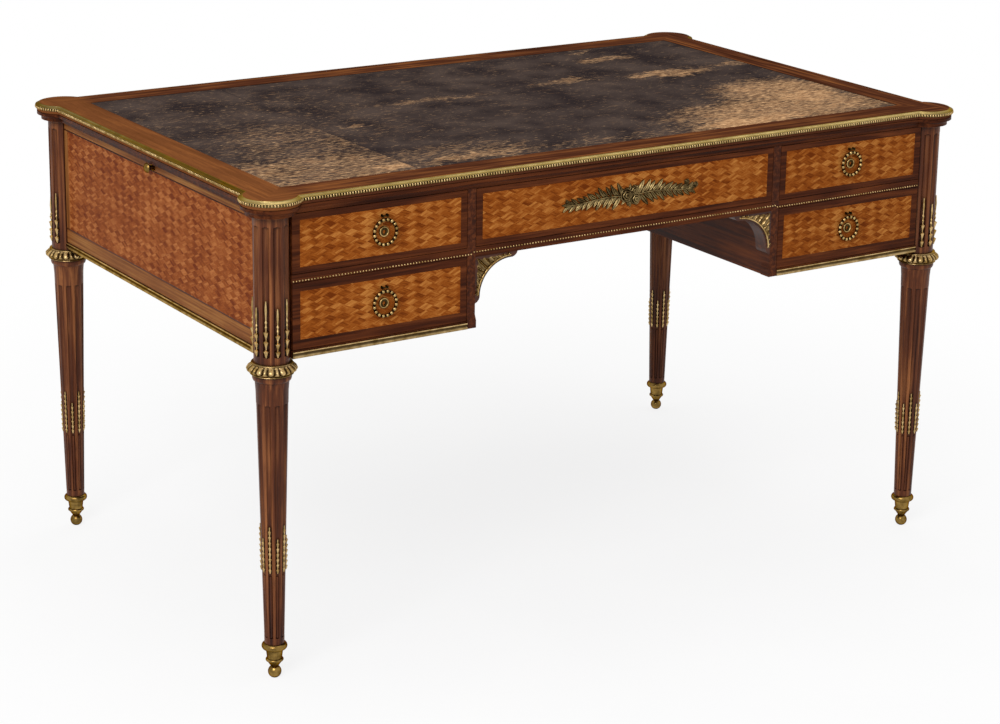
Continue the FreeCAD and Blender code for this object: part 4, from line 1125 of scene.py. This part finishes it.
@dataclass(frozen=True)
class KneeBrackets:
    """Gilt leaf mounts on the curved brackets of the kneehole."""

    top: float = 632.0
    margin: float = 3.0
    lip: float = 5.6
    run: float = 60.8
    fall: float = 57.8
    leaves: int = 11
    leaf_length: float = 15.0
    leaf_width: float = 4.8
    leaf_height: float = 4.8
    leaf_sizes: Span = (5.0, 17.0)
    ridges: int = 10
    rib_radius: float = 1.3

    def hollow_edge(self, turn: np.ndarray) -> np.ndarray:
        """Points of the hollow quarter oval, across from the wall and down from the rail, at each angle."""
        return np.stack([self.lip + self.run * (1 - np.sin(turn)),
                         self.lip + self.fall * (1 - np.cos(turn))], -1)

    def over_edge(self, turn: np.ndarray, out: Union[float, np.ndarray], lift: float) -> np.ndarray:
        """Points some way out from the hollow edge along (sin a, cos a), at a height over the wood.

        Args:
            turn: The angle a of each point.
            out: How far out they lie, one for all or one for each.
            lift: Their height.

        Returns:
            Points by 3, in across, up and outside.
        """
        edge = self.hollow_edge(turn)
        return np.stack([KNEE_X - edge[:, 0] + out * np.sin(turn), self.top - edge[:, 1] + out * np.cos(turn),
                         np.full_like(turn, lift)], 1)

    def ground(self) -> Patch:
        """A thin fan of ridges between the hollow edge (t = 0) and the corner's two sides (t = 1).

        The point (s, t) lies on the straight line between them, and its height is a row of ridges along s,
        |cos| to the power 1.5, that swells in the middle of t.

        Returns:
            The fan in across, up and outside.
        """
        s = np.linspace(0.0, 1.0, 8 * self.ridges + 1)[None, :]
        t = np.linspace(0.0, 1.0, 9)[:, None]
        scallop = 0.12 * np.abs(np.sin(np.pi * self.ridges * s)) * np.sin(np.pi * s)
        edge = np.stack([self.margin + (self.lip + self.run - self.margin) * np.clip(1 - 2 * s, 0, 1),
                         self.margin + (self.lip + self.fall - self.margin) * np.clip(2 * s - 1, 0, 1)], -1)
        blend = (scallop + t * (1 - 2.2 * scallop))[..., None]
        plan = self.hollow_edge(s * np.pi / 2) * (1 - blend) + edge * blend
        ridge = np.abs(np.cos(np.pi * self.ridges * s)) ** 1.5
        rise = np.sin(np.pi * np.clip(t, 0.05, 0.95)) ** 0.5 * (0.4 + 1.4 * ridge)
        flat = np.dstack([KNEE_X - plan[..., 0], self.top - plan[..., 1]])
        return relief(flat, rise, np.clip(0.8 - 0.5 * ridge + 0 * t, 0, 1))

    def foliage(self) -> Patch:
        """Three rows of leaves between the hollow edge and the corner.

        A leaf at angle a points along (sin a, cos a), and its length is a share of the way from the edge
        to the nearer of the corner's two sides. The first row stands on the edge and the others some way
        out, and each row leans by its own angle.

        Returns:
            The leaves in across, up and outside.
        """
        turn = np.linspace(0.06, 0.94, self.leaves) * np.pi / 2
        room = self.hollow_edge(turn) - self.margin
        way = np.minimum(room[:, 0] / np.sin(turn), room[:, 1] / np.cos(turn))
        shape = leaf(self.leaf_length, self.leaf_width, self.leaf_height)
        layout = ((0.0, 0.45, 0.62, 1.6), (0.36, -0.5, 0.62, 1.0), (0.3, 0.75, 0.5, 0.8))
        rows = []
        for start, lean, share, lift in layout:
            size = np.clip(way * share, *self.leaf_sizes) / self.leaf_length
            turns = spin(np.pi / 2 - turn + lean * np.cos(2 * turn), size)
            rows.append(copies(shape, self.over_edge(turn, 1 + start * way, lift), turns))
        made = joined(*rows)
        return replace(made, hollow=0.15 * made.hollow)

    def rib(self) -> Patch:
        """A thin round rib along the hollow edge.

        Returns:
            The rib in across, up and outside.
        """
        turn = np.linspace(0.02, 0.98, 28) * np.pi / 2
        path = self.over_edge(turn, self.rib_radius, self.rib_radius)
        return rod(path, np.stack([np.sin(turn), np.cos(turn), 0 * turn], 1), self.rib_radius, sides=8)

    def build(self) -> None:
        """Makes both mounts as one piece."""
        right = joined(self.ground(), self.foliage(), self.rib())
        both = Face.FRONT.stand(joined(right, right.mirrored()), (0, 0, FRONT_FACE))
        make_piece("bracket_leaves", both, "carcass", PALE_GILT, ["bracket_mounts"], sharp=60)


@dataclass(frozen=True)
class RingPull:
    """Wreath ring and plain keyhole rim of one drawer."""

    centre_x: float
    centre_z: float
    ring_radius: float = 19.5
    ring_wire: float = 2.4
    plane: float = 401.5
    pearls: int = 16
    pearl_radius: float = 3.4
    keyhole_radius: float = 7.2
    keyhole_wire: float = 1.4
    keyhole_lift: float = 1.8

    def wreath(self) -> Patch:
        """A wire round the ring in the full dirt colour, a painted shade between the pearls, threaded with
        pearls at even angles.

        Returns:
            The ring in width, height and outside.
        """
        # painted shade: the wire takes the full dirt colour to stand for the shade between the pearls
        wire = hoop(self.ring_radius, self.ring_wire, sides=self.pearls * 4, steps=11, soil=1.0)
        turn = (np.arange(self.pearls) + 0.5) * (2 * np.pi / self.pearls)
        spots = self.ring_radius * np.stack([np.cos(turn), np.sin(turn), 0 * turn], 1)
        return joined(wire, copies(bead(self.pearl_radius), spots))

    def build(self, drawer: str) -> None:
        """Makes the ring on its own body and the keyhole rim on the drawer.

        Args:
            drawer: Name of the drawer's body.
        """
        wreath = Face.FRONT.stand(self.wreath(), (self.centre_x, self.centre_z, self.plane))
        make_piece(drawer + "_wreath", wreath, drawer + "_pull", GILT, [drawer + "_ring"],
                   sharp=70)
        rim = Face.FRONT.stand(hoop(self.keyhole_radius, self.keyhole_wire, sides=28, steps=9),
                               (self.centre_x, self.centre_z, FRONT_FACE + self.keyhole_lift))
        make_piece(drawer + "_keyhole_rim", rim, drawer, GILT, sharp=180)
        # painted shade: the plate inside the rim is coloured near-black to read as the dark keyhole
        dress_solids(KEYHOLE_SHADE_GILT, drawer + "_keyhole_plate")
        dress_solids(IRON, drawer + "_lock")


@dataclass(frozen=True)
class LeafSpray:
    """Two leafy branches that meet in a group of flowers on the centre drawer."""

    centre_z: float = 695.0
    reach: float = 135.0
    pairs: int = 15
    leaf_start: float = 10.0
    leaf_margin: float = 24.0
    stem_start: float = 8.0
    stem_margin: float = 20.0
    wave_height: float = 2.4
    wave_rate: float = 5.2
    stem_radius: float = 1.1

    def branch(self) -> Patch:
        """One branch to the right: a thin stem in a shallow wave and pairs of leaves along it.

        Leaf k of a row stands at its share of the stem, turned outwards by its row's angle; the
        leaves swell and shrink by turns and grow smaller towards the tip.

        Returns:
            The branch in width, height and outside.
        """
        share = np.linspace(0.04, 0.94, self.pairs)
        leafy, stem = self.reach - self.leaf_margin, self.reach - self.stem_margin
        wave = self.wave_height * np.sin(share * self.wave_rate)
        slope = np.arctan(self.wave_height * self.wave_rate * np.cos(share * self.wave_rate) / leafy)
        size = (1.16 - 0.4 * share) * (1 + 0.14 * np.sin(share * 40))
        spread = 0.98 - 0.4 * share + 0.16 * np.cos(share * 33)
        shape = leaf(length=20.0, width=6.8, height=3.2)
        places = np.stack([self.leaf_start + leafy * share, wave, np.full_like(share, 0.6)], 1)
        upper = copies(shape, places, spin(slope + spread, size))
        lower = copies(shape, places + (5.0, 0.0, 0.0), spin(slope - spread, size))
        end = np.tile([stem, wave[-1], 0.9], (3, 1))
        tip = copies(shape, end, spin([0.1, 0.55, -0.5], [0.9, 0.7, 0.7]))
        run = np.linspace(0.0, 1.0, 30)
        path = np.stack([self.stem_start + stem * run, self.wave_height * np.sin(run * self.wave_rate),
                         np.full_like(run, 1.6)], 1)
        return joined(upper, lower, tip, rod(path, np.array([0.0, 1.0, 0.0]), self.stem_radius, sides=6))

    def rose(self) -> Patch:
        """A rose of three rings of petals, each ring a step of the profile with a groove behind it.

        At angle a the radius of a row is its own reach times 0.86 + 0.14 |cos(2.5 a + phase)|.

        Returns:
            The rose about its middle, of radius 1.
        """
        reach = np.array([1.0, 1.02, 0.9, 0.76, 0.7, 0.72, 0.6, 0.46, 0.4, 0.42, 0.3, 0.16, 0.03])
        level = np.array([0.0, 0.1, 0.24, 0.2, 0.16, 0.3, 0.42, 0.38, 0.33, 0.46, 0.56, 0.52, 0.46])
        soil = np.array([1.0, 0.6, 0.0, 0.7, 1.0, 0.6, 0.0, 0.7, 1.0, 0.6, 0.0, 0.6, 1.0])
        phase = np.repeat([0.0, 1.57, 0.6], (4, 4, 5))
        sides = 30
        angle = np.arange(sides)[None, :] * (2 * np.pi / sides)
        petals = 0.86 + 0.14 * np.abs(np.cos(2.5 * angle + phase[:, None]))
        return turned(reach[:, None] * petals, level, sides, np.repeat(soil[:, None], sides, 1))

    def flowers(self) -> Patch:
        """Three full roses and a bud over a few leaves in the middle, and two buds at the right tip.

        Returns:
            The group in width, height and outside.
        """
        x, y, size = np.array([(-9.0, 2.0, 12.5), (6.0, 7.5, 9.5), (9.5, -6.0, 10.5), (-3.0, -12.0, 5.0),
                               (112.0, 9.0, 5.5), (130.0, 3.0, 5.0)]).T
        roses = copies(self.rose(), np.stack([x, y, np.ones_like(x)], 1), UNTURNED * size[:, None, None])
        angle = np.array([0.9, 1.57, 2.4, 3.9, 4.71, 5.5])
        stalks = np.stack([6 * np.cos(angle), 2 * np.sin(angle), np.full_like(angle, 0.4)], 1)
        green = leaf(length=18.0, width=7.5, height=2.6, teeth=3)
        return joined(roses, copies(green, stalks, spin(angle)))

    def build(self) -> None:
        """Makes the spray as one casting."""
        right = self.branch()
        flat = joined(right.mirrored(), right, self.flowers())
        whole = Face.FRONT.stand(flat, (0, self.centre_z, FRONT_FACE))
        make_piece("leaf_spray", whole, "drawer_centre", DARK_GILT, ["centre_spray"], sharp=60)


@dataclass(frozen=True)
class Drawer:
    """A drawer with its parquetry field."""

    name: str
    across: Span
    up: Span
    pull: Optional[RingPull] = None

    def build(self) -> None:
        """Makes the field and the pull and dresses the front and the box."""
        field = inlay(Face.FRONT, FRONT_FACE, self.across, self.up, LOZENGE)
        make_piece(self.name + "_field", field, self.name, FRONT_LATTICE)
        dress_solids(MAHOGANY[Grain.X], self.name + "_front")
        dress_solids(OAK, self.name + "_box")
        if self.pull:
            self.pull.build(self.name)


@dataclass(frozen=True)
class DrawerPlan:
    """Where the fields and the pulls of the five drawers lie."""

    side_field: Span = (319.0, 600.0)
    upper: Span = (658.5, 731.0)
    lower: Span = (546.0, 621.0)
    pull_x: float = 456.5
    upper_pull_z: float = 695.0
    lower_pull_z: float = 582.5
    centre_half: float = 279.0
    centre: Span = (659.0, 732.0)

    def drawers(self) -> list[Drawer]:
        """The drawers beside the kneehole and the one over it.

        Returns:
            Upper and lower drawers, left and right, and the centre drawer.
        """
        rows = (("upper", self.upper, self.upper_pull_z), ("lower", self.lower, self.lower_pull_z))
        made = []
        for word, side in SIDES.items():
            start, stop = sorted(side * edge for edge in self.side_field)
            for row, up, pull_z in rows:
                pull = RingPull(side * self.pull_x, pull_z)
                made.append(Drawer(f"drawer_{row}_{word}", (start, stop), up, pull))
        return [*made, Drawer("drawer_centre", (-self.centre_half, self.centre_half), self.centre)]


@dataclass(frozen=True)
class WritingSlides:
    """Pull-out slides under the top at the two ends."""

    half_length: float = 350.0
    levels: Span = (728.5, 740.5)

    def build(self) -> None:
        """Veneers the fronts and dresses the boards and knobs."""
        for word, face in END_FACES.items():
            band = inlay(face, END_FACE, (-self.half_length, self.half_length), self.levels)
            make_piece("slide_band_" + word, band, "slide_" + word, BAND_WOOD)
            dress_solids(MAHOGANY[Grain.Y], "slide_front_" + word)
            dress_solids(OAK, "slide_board_" + word)
            dress_solids(BRASS, "slide_knob_" + word)


@dataclass(frozen=True)
class Studio:
    """Floor, light and camera, with angles in degrees and the picture's sizes in pixels."""

    azimuth: float = -32.932
    pitch: float = 15.475
    roll: float = 0.868
    focal: float = 2610.7
    frame_width: float = 1000.0
    frame_height: float = 724.0
    axis_row: float = 259.9
    place: tuple[float, float, float] = (-2.3809, -3.6916, 1.7084)
    sensor: float = 36.0
    floor_reach: float = 30.0

    def hang(self, data: bpy.types.ID, place: Sequence[float],
             axes: Sequence[np.ndarray]) -> bpy.types.Object:
        """Adds a camera or a lamp.

        Args:
            data: The camera or lamp, whose name the object takes.
            place: Where it stands.
            axes: The directions of its right, its top and its back.

        Returns:
            The object.
        """
        matrix = np.eye(4)
        matrix[:3, :3] = np.stack(axes, 1)
        matrix[:3, 3] = place
        item = bpy.data.objects.new(data.name, data)
        item.matrix_world = Matrix(matrix.tolist())
        bpy.context.scene.collection.objects.link(item)
        return item

    def camera(self) -> None:
        """Sets the camera at the photograph's place, turned by its azimuth, pitch and roll."""
        az, pitch, roll = np.radians([self.azimuth, self.pitch, self.roll])
        back = np.array([np.sin(az) * np.cos(pitch), -np.cos(az) * np.cos(pitch), np.sin(pitch)])
        right = np.array([np.cos(az), np.sin(az), 0.0])
        up = np.cross(back, right)
        lens = bpy.data.cameras.new("camera")
        lens.sensor_width = self.sensor
        lens.lens = self.focal * self.sensor / self.frame_width
        lens.shift_y = (self.axis_row - self.frame_height / 2) / self.frame_width
        bpy.context.scene.camera = self.hang(lens, self.place, (
            np.cos(roll) * right + np.sin(roll) * up, np.cos(roll) * up - np.sin(roll) * right, back))

    def floor(self) -> None:
        """Lays the floor, a square of one face."""
        mesh = bpy.data.meshes.new("floor")
        corners = np.insert(CORNERS[[3, 0, 1, 2]] * self.floor_reach, 2, 0.0, axis=1)
        mesh.from_pydata(corners.tolist(), [], [(0, 1, 2, 3)])
        mesh.materials.append(FLOOR.material())
        item = bpy.data.objects.new("floor", mesh)
        bpy.context.scene.collection.objects.link(item)

    def lamp(self, name: str, place: Sequence[float], aim: Sequence[float], size: float,
             power: float) -> None:
        """Hangs a square soft box.

        Args:
            name: Of the lamp.
            place: Its middle.
            aim: The point that it faces.
            size: Length of its side, in metres.
            power: In watts.
        """
        light = bpy.data.lights.new(name, "AREA")
        light.size = size
        light.energy = power
        back = np.asarray(place, float) - np.asarray(aim, float)
        back /= np.linalg.norm(back)
        right = np.cross((0.0, 0.0, 1.0), back)
        right /= np.linalg.norm(right)
        self.hang(light, place, (right, np.cross(back, right), back))

    def surround(self) -> None:
        """Makes the world white to the eye and in reflections, and a soft grey light otherwise."""
        world = bpy.data.worlds.new("white_surround")
        world.use_nodes = True
        tree = world.node_tree
        strength = add(tree, "MapRange", {"To Min": 0.5, "To Max": 1.0, 0: shown(tree)})
        feed(tree, tree.nodes["Background"], {"Color": linear(WHITE), "Strength": strength})
        bpy.context.scene.world = world

    def build(self) -> None:
        """Sets floor, camera, lamps and surround."""
        bpy.context.scene.view_settings.view_transform = "Standard"
        self.floor()
        self.camera()
        self.surround()
        self.lamp("soft_box_left", (-3.2, -2.6, 3.4), (0.0, 0.0, 0.5), size=2.4, power=130.0)
        self.lamp("soft_box_top", (0.6, 0.4, 3.6), (0.0, 0.0, 0.7), size=2.0, power=22.0)
        LOG.info("studio set")


def main() -> None:
    """Builds the table piece by piece, logging each piece's faces, and sets the studio."""
    logging.basicConfig(level=logging.INFO, format="%(message)s")
    drawers = DrawerPlan().drawers()
    TableTop().build()
    Legs().build()
    CaseWork().build([(drawer.across, drawer.up) for drawer in drawers])
    KneeBrackets().build()
    for drawer in drawers:
        drawer.build()
    LeafSpray().build()
    WritingSlides().build()
    Studio().build()


if __name__ == "__main__":
    main()
